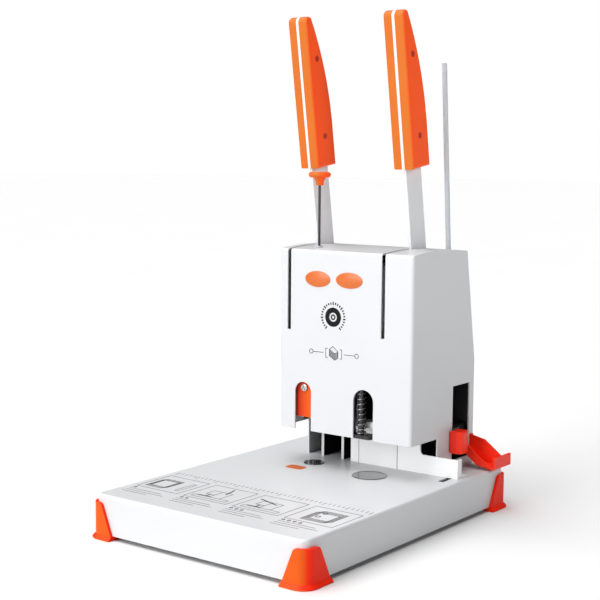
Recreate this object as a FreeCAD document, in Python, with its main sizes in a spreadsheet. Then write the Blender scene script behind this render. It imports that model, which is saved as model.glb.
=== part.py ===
import FreeCAD, Part
import math
import os
import Sketcher
from FreeCAD import Placement, Rotation, Vector

os.makedirs("parts", exist_ok=True)
doc = FreeCAD.newDocument("tube_binder")
sheet = doc.addObject("Spreadsheet::Sheet", "Sizes")

# Driving sizes in millimetres and degrees: X to the right, Y to the back, Z up from the table.
# A place named _x, _y or _z is measured from the frame, a _rise from the base top.
driving_sizes = {
    # base and feet
    "base_width": 240,
    "base_depth": 330,
    "base_height": 36.5,
    "base_sheet": 1.5,
    "base_corner": 8,
    "base_edge": 3,
    "foot_drop": 4,
    "foot_wall": 3,
    "foot_flare": 3,
    "foot_gap": 0.2,
    "foot_low_reach": 21,
    "foot_high_reach": 14.5,
    "foot_top_drop": 7,
    "foot_screw_inset": 15,
    "foot_screw_radius": 2,
    "foot_screw_head": 4,
    "foot_screw_sink": 2.5,
    "screw_gap": 0.1,
    "bottom_sheet": 1.2,
    "bottom_gap": 0.4,
    "vent_length": 60,
    "vent_width": 4,
    "vent_pitch": 12,
    "vent_count": 7,
    # housing
    "throat_rise": 36,
    "face_height": 179.5,
    "crown_rise": 2.6,
    "cover_left": 67,
    "cover_right": 89,
    "cover_front_y": 39,
    "column_front_y": 87,
    "cover_top_back_y": 137,
    "cover_back_y": 155,
    "kink_rise": 106.5,
    "cover_sheet": 1.5,
    "cover_bend": 3,
    "rear_sheet": 1.2,
    "rear_flange": 6,
    "louvre_length": 44,
    "louvre_width": 3,
    "louvre_pitch": 8,
    "louvre_count": 6,
    "louvre_drop": 65.5,
    "arch_top_rise": 84.2,
    "left_arch_x": 37.8,
    "left_arch_width": 20,
    "right_arch_x": 34.3,
    "right_arch_width": 23.2,
    "window_front_y": 114.3,
    "window_back_y": 146.6,
    "window_low_rise": 9.5,
    "window_top_rise": 83.6,
    # paper stops
    "stop_front_y": 85,
    "stop_sheet": 1.5,
    "throat_plate_left": 1,
    "throat_plate_width": 45,
    "throat_plate_height": 37.5,
    "short_stop_width": 9.5,
    "stop_seam": 0.8,
    "stop_foot": 12,
    "fence_right_x": 113,
    "fence_height": 18.6,
    "fence_peak": 30,
    "fence_shoulder_x": 71,
    "fence_round": 4,
    "fence_lift": 0.1,
    "fence_foot_width": 19,
    "fence_foot_depth": 16,
    "fence_slot_x": 104,
    "fence_slot_width": 6,
    "fence_slot_front_y": 71,
    "fence_slot_back_y": 99,
    "fence_stud_y": 94,
    "fence_return": 6,
    "fence_stud_radius": 2.5,
    "fence_nut_radius": 6,
    "fence_nut_height": 3.5,
    # levers
    "lever_x": 55.6,
    "pivot_y": 112,
    "pivot_drop": 84,
    "lever_lean": 9,
    "bar_thickness": 3,
    "bar_width": 26.5,
    "slot_gap": 0.6,
    "slot_depth": 80,
    "slot_back_y": 114.5,
    "grip_start": 167,
    "grip_straight": 33,
    "grip_length": 146,
    "grip_front": 15.4,
    "grip_back": 15.2,
    "grip_tip_back": 5.6,
    "grip_tip_drop": 4,
    "grip_belly": 5.7,
    "grip_crown": 4,
    "grip_shell": 9.8,
    "grip_edge": 2.2,
    "grip_screw_low": 30.5,
    "grip_screw_high": 107,
    "grip_screw_radius": 1.5,
    "grip_screw_head": 3,
    "grip_screw_sink": 1.2,
    "grip_screw_height": 0.9,
    # gears, racks and frame plates
    "tooth_module": 2,
    "gear_teeth": 31,
    "sector_teeth": 9,
    "rack_teeth": 9,
    "pressure_angle": 20,
    "tooth_backlash": 0.4,
    "tooth_sink": 0.3,
    "gear_side_gap": 2,
    "tooth_addendum": 1.8,
    "tooth_dedendum": 2.4,
    "gear_width": 10,
    "hub_radius": 10,
    "shaft_radius": 6,
    "shaft_overhang": 3.5,
    "ring_radius": 9,
    "ring_thickness": 2,
    "running_fit": 0.05,
    "slide_gap": 0.4,
    "ram_travel": 34.5,
    "plate_sheet": 3,
    "plate_front_y": 50,
    "plate_back_gap": 4,
    "plate_top_gap": 10,
    "arm_lift": 8,
    "left_plate_gap": 22,
    "right_plate_gap": 40,
    "spacer_radius": 5,
    "low_spacer_y": 142,
    "low_spacer_rise": 20,
    "rear_spacer_y": 128,
    "rear_spacer_drop": 18,
    "front_spacer_y": 92,
    "front_spacer_drop": 8,
    "rod_radius": 4,
    "rod_block_height": 6,
    "rod_block_depth": 12,
    # rivet station
    "rivet_x": 35,
    "rivet_y": 55,
    "ram_front_y": 47,
    "ram_neck_depth": 16,
    "ram_neck_rise": 71.5,
    "ram_body_rise": 87.5,
    "ram_top_gap": 24,
    "ram_rod_y": 71,
    "heater_width": 16,
    "heater_height": 20,
    "heater_bore": 3.5,
    "upper_die_radius": 6,
    "upper_die_tip": 3.5,
    "upper_die_edge": 1,
    "upper_die_cone": 3,
    "shroud_width": 30,
    "shroud_low_rise": 48.5,
    "shroud_top_rise": 90,
    "shroud_front_y": 42.8,
    "shroud_wall": 1.8,
    "shroud_screw_rise": 78,
    "shroud_screw_offset": 3.5,
    "shroud_screw_height": 1.4,
    "shroud_screw_head": 3.4,
    "shroud_screw_radius": 2,
    "lower_die_radius": 10.5,
    "lower_die_rim": 1,
    "lower_die_stem": 6,
    "lower_die_stem_length": 7,
    "lower_die_nub": 3,
    "lower_die_nub_height": 1.5,
    "lower_die_edge": 0.4,
    "lower_die_dimple": 1,
    # drill station
    "drill_x": 27,
    "drill_y": 47,
    "drill_radius": 3,
    "drill_bore": 2,
    "drill_tip_rise": 35.7,
    "drill_length": 52,
    "drill_land": 0.3,
    "drill_relief": 0.6,
    "drill_throat": 1.2,
    "spindle_nose": 3.6,
    "spindle_nose_length": 22,
    "spindle_radius": 4,
    "spindle_gap": 0.4,
    "spindle_collar": 1,
    "spindle_neck": 2.66,
    "spindle_fit": 0.01,
    "spindle_pulley": 3.8,
    "pulley_flange": 1.2,
    "pulley_height": 10,
    "pulley_lift": 2,
    "pulley_gap": 0.3,
    "carriage_low_rise": 93.5,
    "carriage_height": 18,
    "carriage_front_y": 41.5,
    "carriage_arm_left": 15,
    "carriage_arm_right": 7,
    "carriage_body_y": 54,
    "carriage_back_y": 70,
    "rack_bar_width": 9,
    "rack_bar_front_y": 66,
    "right_rod_y": 61,
    "right_rod_spread": 13.5,
    "motor_x": 21,
    "motor_y": 87,
    "motor_radius": 13,
    "motor_length": 48,
    "motor_boss_radius": 5.85,
    "motor_boss_height": 4,
    "motor_edge": 1,
    "motor_shaft_radius": 2,
    "motor_pulley": 6,
    "bracket_sheet": 3,
    "bracket_rise": 131.5,
    "belt_gap": 0.3,
    "belt_thickness": 1,
    "belt_width": 7,
    "foot_plate_rise": 35.5,
    "foot_plate_height": 3.5,
    "foot_plate_left": 15,
    "foot_plate_right": 13.5,
    "foot_plate_front_y": 41.5,
    "foot_plate_back_y": 54.5,
    "foot_plate_corner": 3,
    "hanger_inset": 11,
    "hanger_spread": 3.3,
    "hanger_radius": 1.75,
    "hanger_head": 2.8,
    "hanger_head_height": 1.8,
    "contact_gap": 0.1,
    "spring_wire": 1.2,
    "spring_radius": 4.7,
    "spring_turns": 10,
    "spring_bend": 1.5,
    "pad_x": 38.5,
    "pad_y": 45.5,
    "pad_radius": 17.25,
    "pad_rim": 0.7,
    "pad_edge": 0.2,
    "pad_land": 2,
    "pad_step": 0.4,
    "pad_sink": 0.25,
    "pad_spigot": 10,
    "pad_spigot_length": 6,
    # tube gauge, chute, rod and tube
    "gauge_y": 116.5,
    "knob_depth": 13,
    "knob_width": 17,
    "knob_height": 22.3,
    "knob_rise": 18.2,
    "knob_corner": 5.5,
    "knob_edge": 1.5,
    "knob_gap": 1,
    "slide_depth": 6,
    "slide_width": 15,
    "neck_width": 6,
    "neck_height": 16,
    "rail_depth": 5,
    "rail_width": 8,
    "guide_low_rise": 87.5,
    "guide_height": 14,
    "guide_depth": 17,
    "guide_floor": 3,
    "tube_x": 77,
    "tube_y": 130.5,
    "tube_lean": 2.7,
    "tube_radius": 2.5,
    "tube_bore": 1.7,
    "tube_length": 307,
    "tube_gap": 0.4,
    "tube_hole": 4.4,
    "chute_front_y": 133,
    "chute_back_y": 150,
    "chute_end_x": 125.5,
    "chute_wall": 2,
    "chute_floor_rise": 18,
    "chute_knee": 17,
    "chute_knee_rise": 4.5,
    "chute_end_rise": 1.7,
    "chute_back_rise": 31,
    "chute_back_run": 17.5,
    "chute_back_knee_rise": 27.4,
    "chute_front_rise": 27,
    "chute_front_run": 25,
    "chute_front_knee_rise": 9,
    "chute_flange": 3,
    "lip_height": 11.5,
    "lip_front_y": 135,
    "lip_back_y": 168,
    "pin_x": 32.8,
    "pin_y": 57,
    "pin_radius": 1.3,
    "pin_top_rise": 291,
    "pin_head_radius": 11,
    "pin_head_height": 5.5,
    "pin_neck_radius": 4,
    "pin_neck_height": 7.5,
    "pin_flare_radius": 6.5,
    "pin_flare_height": 4,
    "pin_depth": 30,
    "socket_radius": 2.8,
    "socket_flange": 3.6,
    "socket_flange_height": 1.2,
    "socket_tilt": 0.35,
    "socket_length": 34,
    # power inlet and switch
    "inlet_x": 68,
    "inlet_rise": 30,
    "inlet_width": 28,
    "inlet_height": 20,
    "inlet_depth": 18,
    "inlet_flange": 3,
    "inlet_well": 12,
    "blade_width": 2,
    "blade_height": 4,
    "blade_length": 9.6,
    "switch_x": 27,
    "switch_rise": 66,
    "switch_width": 20,
    "switch_height": 13,
    "switch_depth": 12,
    "switch_wall": 1.5,
    "rocker_lift": 1.5,
    "rocker_gap": 0.5,
    "rocker_pin_radius": 0.5,
    "rocker_pin_reach": 0.8,
}


class Size:
    # a number together with the sheet formula that it comes from
    def __init__(self, value, formula):
        self.value = value
        self.formula = formula

    def __add__(self, other):
        return Size(self.value + number(other), f"({self.formula} + {text(other)})")

    def __radd__(self, other):
        return Size(number(other) + self.value, f"({text(other)} + {self.formula})")

    def __sub__(self, other):
        return Size(self.value - number(other), f"({self.formula} - {text(other)})")

    def __rsub__(self, other):
        return Size(number(other) - self.value, f"({text(other)} - {self.formula})")

    def __mul__(self, other):
        return Size(self.value * number(other), f"({self.formula} * {text(other)})")

    def __rmul__(self, other):
        return Size(number(other) * self.value, f"({text(other)} * {self.formula})")

    def __truediv__(self, other):
        return Size(self.value / number(other), f"({self.formula} / {text(other)})")

    def __rtruediv__(self, other):
        return Size(number(other) / self.value, f"({text(other)} / {self.formula})")

    def __neg__(self):
        return Size(-self.value, f"(0 - {self.formula})")


def number(size):
    return size.value if isinstance(size, Size) else float(size)


def text(size):
    return size.formula if isinstance(size, Size) else f"({float(size)!r})"


def root(size):
    return Size(math.sqrt(size.value), f"sqrt({size.formula})")


def sine(angle):
    return Size(math.sin(math.radians(angle.value)), f"sin({angle.formula})")


def cosine(angle):
    return Size(math.cos(math.radians(angle.value)), f"cos({angle.formula})")


def tangent(angle):
    return Size(math.tan(math.radians(angle.value)), f"tan({angle.formula})")


class SizeTable:
    # one sheet row for each driving size, read back as a Size
    def __init__(self, rows):
        for row, (name, value) in enumerate(rows.items(), start=1):
            sheet.set(f"A{row}", name)
            sheet.set(f"B{row}", str(value))
            sheet.setAlias(f"B{row}", name)
        doc.recompute()
        for name in rows:
            setattr(self, name, Size(float(sheet.get(name)), f"Sizes.{name}"))


s = SizeTable(driving_sizes)
nodes = {}


def bind(thing, **fields):
    for name, size in fields.items():
        setattr(thing, name, number(size))
        if isinstance(size, Size):
            thing.setExpression(name, size.formula)


def place(thing, x=0, y=0, z=0, rotation=Rotation()):
    thing.Placement = Placement(Vector(number(x), number(y), number(z)), rotation)
    for axis, size in (("x", x), ("y", y), ("z", z)):
        if isinstance(size, Size):
            thing.setExpression(f"Placement.Base.{axis}", size.formula)


def new_body(name):
    body = doc.addObject("PartDesign::Body", name)
    nodes[name] = body
    return body


def origin_feature(body, role):
    return next(feature for feature in body.Origin.OriginFeatures if feature.Role == role)


def sketch_on(body, role, offset):
    sketch = body.newObject("Sketcher::SketchObject", f"{body.Name}_sketch")
    sketch.AttachmentSupport = (origin_feature(body, role), [""])
    sketch.MapMode = "FlatFace"
    sketch.AttachmentOffset = Placement(Vector(0, 0, number(offset)), Rotation())
    if isinstance(offset, Size):
        sketch.setExpression("AttachmentOffset.Base.z", offset.formula)
    sketch.Visibility = False
    return sketch


def hold(sketch, constraint, size):
    index = sketch.addConstraint(constraint)
    if isinstance(size, Size):
        sketch.setExpression(f"Constraints[{index}]", size.formula)


def outline(body, role, corners, offset=0, arcs=None):
    # a closed profile, counter-clockwise; arcs gives the outward bow of a side by its number
    arcs = arcs or {}
    sketch = sketch_on(body, role, offset)
    points = [Vector(number(x), number(y), 0) for x, y in corners]
    count = len(points)
    ends = []
    for side in range(count):
        first, last = points[side], points[(side + 1) % count]
        ends.append((1, 2))
        if side not in arcs:
            sketch.addGeometry(Part.LineSegment(first, last), False)
            continue
        along = last - first
        outward = Vector(along.y, -along.x, 0).normalize()
        middle = (first + last) * 0.5 + outward * number(arcs[side])
        sketch.addGeometry(Part.Arc(first, middle, last), False)
        start = sketch.Geometry[side].StartPoint
        if start.distanceToPoint(first) > start.distanceToPoint(last):
            ends[side] = (2, 1)
    for side in range(count):
        after = (side + 1) % count
        sketch.addConstraint(Sketcher.Constraint("Coincident", side, ends[side][1], after, ends[after][0]))
    for side, (x, y) in enumerate(corners):
        start = ends[side][0]
        hold(sketch, Sketcher.Constraint("DistanceX", -1, 1, side, start, number(x)), x)
        hold(sketch, Sketcher.Constraint("DistanceY", -1, 1, side, start, number(y)), y)
    for side, bow in arcs.items():
        (x1, y1), (x2, y2) = corners[side], corners[(side + 1) % count]
        across, up = x2 - x1, y2 - y1
        square = across * across + up * up
        inward = (square / (8 * bow) - bow / 2) / root(square)
        if abs(number(up)) > abs(number(across)):
            centre_x = (x1 + x2) / 2 - up * inward
            hold(sketch, Sketcher.Constraint("DistanceX", -1, 1, side, 3, number(centre_x)), centre_x)
        else:
            centre_y = (y1 + y2) / 2 + across * inward
            hold(sketch, Sketcher.Constraint("DistanceY", -1, 1, side, 3, number(centre_y)), centre_y)
    return sketch


def box_outline(body, role, low, high, offset=0):
    (x1, y1), (x2, y2) = low, high
    return outline(body, role, [(x1, y1), (x2, y1), (x2, y2), (x1, y2)], offset)


def box_about(body, x, z, half, tall, y):
    return box_outline(body, "XZ_Plane", (x - half, z - tall), (x + half, z + tall), -y)


def circle(body, role, x, y, radius, offset=0):
    sketch = sketch_on(body, role, offset)
    centre = Vector(number(x), number(y), 0)
    sketch.addGeometry(Part.Circle(centre, Vector(0, 0, 1), number(radius)), False)
    hold(sketch, Sketcher.Constraint("DistanceX", -1, 1, 0, 3, number(x)), x)
    hold(sketch, Sketcher.Constraint("DistanceY", -1, 1, 0, 3, number(y)), y)
    hold(sketch, Sketcher.Constraint("Radius", 0, number(radius)), radius)
    return sketch


def pad(body, sketch, length, reverse=False, symmetric=False, taper=0):
    feature = body.newObject("PartDesign::Pad", f"{body.Name}_pad")
    feature.Profile = sketch
    feature.SideType = "Symmetric" if symmetric else "One side"
    feature.Reversed = reverse
    bind(feature, Length=length, TaperAngle=taper)
    doc.recompute()
    return feature


def cut(body, sketch, length, reverse=False, symmetric=False):
    before = body.Tip.Shape.Volume
    feature = body.newObject("PartDesign::Pocket", f"{body.Name}_pocket")
    feature.Profile = sketch
    feature.SideType = "Symmetric" if symmetric else "One side"
    feature.Reversed = reverse
    bind(feature, Length=length)
    doc.recompute()
    if body.Tip.Shape.Volume > before - 1e-3:
        raise ValueError(f"a pocket of {body.Label} removes nothing")
    return feature


def turned(name, x, y, profile, arcs=None):
    # a piece turned round an upright axis, from (radius, height) corners
    body = new_body(name)
    place(body, x, y)
    feature = body.newObject("PartDesign::Revolution", f"{name}_turn")
    feature.Profile = outline(body, "XZ_Plane", profile, arcs=arcs)
    feature.ReferenceAxis = (feature.Profile[0], ["V_Axis"])
    feature.Angle = 360
    doc.recompute()
    return body


def lies(edge, **places):
    # true where the whole edge lies at each named coordinate
    bounds = edge.BoundBox
    for axis, place_at in places.items():
        low = getattr(bounds, f"{axis.upper()}Min")
        high = getattr(bounds, f"{axis.upper()}Max")
        if abs(low - number(place_at)) > 0.01 or abs(high - number(place_at)) > 0.01:
            return False
    return True


def soften(body, radius, chosen, kind="Fillet"):
    base = body.Tip
    names = [f"Edge{i}" for i, edge in enumerate(base.Shape.Edges, start=1) if chosen(edge)]
    feature = body.newObject(f"PartDesign::{kind}", f"{body.Name}_{kind.lower()}")
    feature.Base = (base, names)
    bind(feature, **{"Radius" if kind == "Fillet" else "Size": radius})
    doc.recompute()
    return feature


def repeat(body, feature, kind, role, count, span, reverse=False):
    # a row along an axis, or a ring about it, of one feature
    pattern = body.newObject(f"PartDesign::{kind}", f"{body.Name}_pattern")
    pattern.Originals = [feature]
    axis = (origin_feature(body, role), [""])
    pattern.Reversed = reverse
    if kind == "LinearPattern":
        pattern.Direction = axis
        bind(pattern, Length=span)
    else:
        pattern.Axis = axis
        bind(pattern, Angle=span)
    pattern.Occurrences = int(number(count))
    if isinstance(count, Size):
        pattern.setExpression("Occurrences", count.formula)
    body.Tip = pattern
    doc.recompute()
    return pattern


turns = {"X": Rotation(Vector(0, 1, 0), 90), "Y": Rotation(Vector(1, 0, 0), -90), "Z": Rotation()}


def cylinder(name, radius, length, x, y, z, axis="Z"):
    thing = doc.addObject("Part::Cylinder", name)
    bind(thing, Radius=radius, Height=length)
    place(thing, x, y, z, turns[axis])
    return thing


def block(name, low, high):
    thing = doc.addObject("Part::Box", name)
    sizes = [b - a for a, b in zip(low, high)]
    bind(thing, Length=sizes[0], Width=sizes[1], Height=sizes[2])
    place(thing, *low)
    return thing


def remove(name, base, tool):
    thing = doc.addObject("Part::Cut", name)
    thing.Base = base
    thing.Tool = tool
    return thing


def join(name, pieces):
    thing = doc.addObject("Part::MultiFuse", name)
    thing.Shapes = pieces
    return thing


def group(name, pieces):
    thing = doc.addObject("Part::Compound", name)
    thing.Links = pieces
    nodes[name] = thing
    return thing


# Places shared by several pieces
base_top = s.foot_drop + s.base_height
half_width = s.base_width / 2
half_depth = s.base_depth / 2
cover_floor = base_top + s.throat_rise
cover_top = cover_floor + s.face_height
kink_z = base_top + s.kink_rise
pivot_z = cover_top - s.pivot_drop
plate_top = cover_top - s.plate_top_gap
ram_top = plate_top - s.ram_top_gap
plate_floor = cover_floor + s.arm_lift
stop_back_y = s.stop_front_y + s.stop_sheet
pitch_radius = s.tooth_module * s.gear_teeth / 2
rack_pitch = s.tooth_module * math.pi
rack_line_y = s.pivot_y - pitch_radius
rack_root_y = rack_line_y - s.tooth_dedendum
left_x = -s.rivet_x
left_outer_x = left_x - s.left_plate_gap / 2 - s.plate_sheet
left_inner_x = left_x + s.left_plate_gap / 2
right_inner_x = s.drill_x - s.right_plate_gap / 2 - s.plate_sheet
right_outer_x = s.drill_x + s.right_plate_gap / 2
wall_inner_x = s.cover_right - s.cover_sheet
guide_z = base_top + s.guide_low_rise
spacer_places = [
    (s.low_spacer_y, base_top + s.low_spacer_rise),
    (s.rear_spacer_y, plate_top - s.rear_spacer_drop),
    (s.front_spacer_y, plate_top - s.front_spacer_drop),
]


def crown_at(y):
    # height of the housing's bowed top at a depth
    middle = (s.cover_front_y + s.cover_top_back_y) / 2
    share = (y - middle) / (s.cover_top_back_y - middle)
    return cover_top + s.crown_rise * (1 - share * share)


def base_shell():
    body = new_body("base_shell")
    low, high = (-half_width, -half_depth), (half_width, half_depth)
    pad(body, box_outline(body, "XY_Plane", low, high, s.foot_drop), s.base_height)
    soften(body, s.base_corner, lambda e: e.BoundBox.ZLength > 1)
    soften(body, s.base_edge, lambda e: lies(e, z=base_top))
    thickness = body.newObject("PartDesign::Thickness", "base_shell_hollow")
    solid = body.Tip.Shape if body.Tip != thickness else thickness.BaseFeature.Shape
    floor = next(i for i, face in enumerate(solid.Faces, start=1) if lies(face, z=s.foot_drop))
    thickness.Base = (thickness.BaseFeature, [f"Face{floor}"])
    thickness.Reversed = True
    bind(thickness, Value=s.base_sheet)
    doc.recompute()
    die_hole = circle(body, "XY_Plane", left_x, s.rivet_y, s.lower_die_stem + s.running_fit, base_top)
    cut(body, die_hole, s.base_sheet)
    pad_hole = circle(body, "XY_Plane", s.pad_x, s.pad_y, s.pad_spigot + s.running_fit, base_top)
    cut(body, pad_hole, s.base_sheet)
    side = s.fence_slot_width / 2
    slot = outline(body, "XY_Plane", [
        (s.fence_slot_x - side, s.fence_slot_front_y),
        (s.fence_slot_x + side, s.fence_slot_front_y),
        (s.fence_slot_x + side, s.fence_slot_back_y),
        (s.fence_slot_x - side, s.fence_slot_back_y),
    ], base_top, arcs={0: side, 2: side})
    cut(body, slot, s.base_sheet)


def bottom_plate():
    body = new_body("bottom_plate")
    inset = s.base_sheet + s.bottom_gap
    x, y = half_width - inset, half_depth - inset
    pad(body, box_outline(body, "XY_Plane", (-x, -y), (x, y), s.foot_drop), s.bottom_sheet)
    soften(body, s.base_corner - s.base_sheet, lambda e: e.BoundBox.ZLength > 1)
    first = -(s.vent_count - 1) * s.vent_pitch / 2
    side = s.vent_width / 2
    reach = s.vent_length / 2
    vent = outline(body, "XY_Plane", [
        (-reach, first - side), (reach, first - side), (reach, first + side), (-reach, first + side),
    ], s.foot_drop + s.bottom_sheet, arcs={1: side, 3: side})
    slit = cut(body, vent, s.bottom_sheet)
    repeat(body, slit, "LinearPattern", "Y_Axis", s.vent_count, (s.vent_count - 1) * s.vent_pitch)
    for across, along in corner_signs.values():
        hole = circle(body, "XY_Plane", screw_x(across), screw_y(along),
                      s.foot_screw_radius + s.screw_gap, s.foot_drop + s.bottom_sheet)
        cut(body, hole, s.bottom_sheet)


corner_signs = {
    "front_left": (-1, -1),
    "front_right": (1, -1),
    "rear_left": (-1, 1),
    "rear_right": (1, 1),
}


def screw_x(across):
    return across * (half_width - s.foot_screw_inset)


def screw_y(along):
    return along * (half_depth - s.foot_screw_inset)


def corner_outline(body, across, along, low, high, radius, offset):
    # one quarter of the base plan with its outer corner rounded, carried to the named corner
    (x1, y1), (x2, y2) = low, high
    points = [(x1, y1), (x2, y1), (x2, y2 - radius), (x2 - radius, y2), (x1, y2)]
    corners = [(across * x, along * y) for x, y in points]
    rounded = 2
    if across * along < 0:
        corners.reverse()
        rounded = 1
    bow = radius * (1 - math.sqrt(0.5))
    return outline(body, "XY_Plane", corners, offset, arcs={rounded: bow})


def corner_foot(corner, across, along):
    body = new_body(f"{corner}_foot")
    height = base_top - s.foot_top_drop
    reach_x, reach_y = half_width - s.foot_low_reach, half_depth - s.foot_low_reach
    outer_x, outer_y = half_width + s.foot_wall, half_depth + s.foot_wall
    flare = s.foot_flare
    rim = corner_outline(body, across, along, (reach_x - flare, reach_y - flare),
                         (outer_x + flare, outer_y + flare), s.base_corner + s.foot_wall + flare, 0)
    pad(body, rim, s.foot_drop)
    soften(body, flare, lambda e: lies(e, z=s.foot_drop) and (
        across * e.BoundBox.Center.x > outer_x.value
        or along * e.BoundBox.Center.y > outer_y.value), "Chamfer")
    wall = corner_outline(body, across, along, (reach_x, reach_y), (outer_x, outer_y),
                          s.base_corner + s.foot_wall, 0)
    pad(body, wall, height)
    hollow = corner_outline(body, across, along, (reach_x - s.foot_low_reach, reach_y - s.foot_low_reach),
                            (half_width + s.foot_gap, half_depth + s.foot_gap),
                            s.base_corner + s.foot_gap, s.foot_drop)
    cut(body, hollow, height, reverse=True)
    high_x, high_y = half_width - s.foot_high_reach, half_depth - s.foot_high_reach
    for role, low, high, sign in (("XZ_Plane", reach_x, high_x, across),
                                  ("YZ_Plane", reach_y, high_y, along)):
        slant = [(sign * low, s.foot_drop), (sign * high, height), (sign * high, 2 * height),
                 (sign * (low - s.foot_flare), 2 * height), (sign * (low - s.foot_flare), s.foot_drop)]
        cut(body, outline(body, role, slant if sign > 0 else slant[::-1]), 4 * s.base_depth, symmetric=True)
    shank = circle(body, "XY_Plane", screw_x(across), screw_y(along), s.foot_screw_radius + s.screw_gap)
    cut(body, shank, s.foot_drop, reverse=True)
    sink = circle(body, "XY_Plane", screw_x(across), screw_y(along), s.foot_screw_head + s.screw_gap)
    cut(body, sink, s.foot_screw_sink, reverse=True)


def foot_screws():
    pieces = []
    for corner, (across, along) in corner_signs.items():
        x, y = screw_x(across), screw_y(along)
        head_height = s.foot_screw_sink / 2
        head = cylinder(f"{corner}_screw_head", s.foot_screw_head, head_height, x, y, head_height)
        shank_length = s.foot_drop - s.foot_screw_sink + 2 * s.bottom_sheet
        shank = cylinder(f"{corner}_screw_shank", s.foot_screw_radius, shank_length, x, y, s.foot_screw_sink)
        pieces.append(join(f"{corner}_screw", [head, shank]))
    group("foot_screws", pieces)


def frame_plate(name, x, hole):
    # one cheek of a C-shaped press frame, open at the throat
    body = doc.addObject("PartDesign::Body", name)
    back = s.cover_back_y - s.rear_sheet - s.plate_back_gap
    top_back = s.cover_top_back_y - s.rear_sheet - s.plate_back_gap / 2
    profile = outline(body, "YZ_Plane", [
        (stop_back_y, base_top), (back, base_top), (back, kink_z), (top_back, plate_top),
        (s.plate_front_y, plate_top), (s.plate_front_y, plate_floor), (stop_back_y, plate_floor),
    ], x)
    pad(body, profile, s.plate_sheet)
    corner = s.plate_sheet * 2
    soften(body, corner, lambda e: lies(e, y=stop_back_y, z=plate_floor)
           or lies(e, y=s.plate_front_y, z=plate_floor) or lies(e, y=s.plate_front_y, z=plate_top))
    bearing = circle(body, "YZ_Plane", s.pivot_y, pivot_z, hole + s.running_fit, x)
    cut(body, bearing, s.plate_sheet, reverse=True)
    for y, z in spacer_places:
        cut(body, circle(body, "YZ_Plane", y, z, s.spacer_radius, x), s.plate_sheet, reverse=True)
    return body


def frame_plates():
    group("outer_plates", [
        frame_plate("left_outer_plate", left_outer_x, s.hub_radius),
        frame_plate("right_outer_plate", right_outer_x, s.hub_radius),
    ])
    group("inner_plates", [
        frame_plate("left_inner_plate", left_inner_x, s.shaft_radius),
        frame_plate("right_inner_plate", right_inner_x, s.shaft_radius),
    ])
    length = right_outer_x + s.plate_sheet - left_outer_x
    rods = [cylinder(f"spacer_{i}", s.spacer_radius, length, left_outer_x, y, z, "X")
            for i, (y, z) in enumerate(spacer_places)]
    group("frame_spacers", rods)


def pivot_shaft():
    end = s.lever_x + s.bar_thickness / 2 + s.shaft_overhang
    shaft = cylinder("pivot_shaft", s.shaft_radius, 2 * end, -end, s.pivot_y, pivot_z, "X")
    nodes["pivot_shaft"] = shaft
    rings = []
    for side, x in (("left", -end), ("right", end - s.ring_thickness)):
        disc = cylinder(f"{side}_ring_disc", s.ring_radius, s.ring_thickness, x, s.pivot_y, pivot_z, "X")
        bore = cylinder(f"{side}_ring_bore", s.shaft_radius, s.ring_thickness, x, s.pivot_y, pivot_z, "X")
        rings.append(remove(f"{side}_ring", disc, bore))
    group("shaft_end_rings", rings)


def involute_half_width(radius):
    # half the angle that a gear tooth spans at a radius, in degrees
    base = pitch_radius.value * math.cos(math.radians(s.pressure_angle.value))
    pressure = math.acos(min(1.0, base / radius))
    pitch_pressure = math.radians(s.pressure_angle.value)
    bend = math.tan(pitch_pressure) - pitch_pressure - math.tan(pressure) + pressure
    play = s.tooth_backlash.value / (4 * pitch_radius.value)
    return math.degrees(math.pi / (2 * s.gear_teeth.value) + bend - play)


def sector_gear(name, web_x, hub_start_x, hub_length):
    # teeth face the rack in front and run up from it, as far as the lever swings
    body = new_body(name)
    place(body, 0, s.pivot_y, pivot_z)
    step = 360 / s.gear_teeth
    gear_root = pitch_radius - s.tooth_dedendum
    low = -1.5 * step
    high = (s.sector_teeth - 1.5) * step
    web = outline(body, "YZ_Plane", [
        (0, 0),
        (-(gear_root * cosine(high)), gear_root * sine(high)),
        (-(gear_root * cosine(low)), gear_root * sine(low)),
    ], web_x, arcs={1: gear_root * (1 - cosine((high - low) / 2))})
    pad(body, web, s.gear_width)
    pad(body, circle(body, "YZ_Plane", 0, 0, s.hub_radius, hub_start_x), hub_length)
    flank = []
    sink = s.tooth_sink.value
    for radius in (gear_root.value - sink, pitch_radius.value, (pitch_radius + s.tooth_addendum).value):
        angle = math.radians(involute_half_width(max(radius, gear_root.value + sink)))
        flank.append((radius, angle))
    start = math.radians(step.value)
    corners = [(-r * math.cos(a + start), -r * math.sin(a + start)) for r, a in flank]
    corners += [(-r * math.cos(start - a), -r * math.sin(start - a)) for r, a in reversed(flank)]
    tooth = pad(body, outline(body, "YZ_Plane", corners[::-1], web_x), s.gear_width)
    repeat(body, tooth, "PolarPattern", "X_Axis", s.sector_teeth, step * (s.sector_teeth - 1), reverse=True)
    bore = circle(body, "YZ_Plane", 0, 0, s.shaft_radius + s.running_fit, hub_start_x)
    cut(body, bore, hub_length, reverse=True)


def rack_on(body, low_x, width):
    # straight-sided teeth on the back of a slide, with a space at the pivot's height
    slope = tangent(s.pressure_angle)
    half = rack_pitch / 4 - s.tooth_backlash / 4
    first = pivot_z - 1.5 * rack_pitch
    foot = half + s.tooth_dedendum * slope
    tip = half - s.tooth_addendum * slope
    tip_y = rack_line_y + s.tooth_addendum
    profile = [
        (rack_root_y, first - foot), (tip_y, first - tip), (tip_y, first + tip), (rack_root_y, first + foot),
    ]
    tooth = pad(body, outline(body, "YZ_Plane", profile, low_x), width)
    repeat(body, tooth, "LinearPattern", "Z_Axis", s.rack_teeth, (s.rack_teeth - 1) * rack_pitch)


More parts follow.
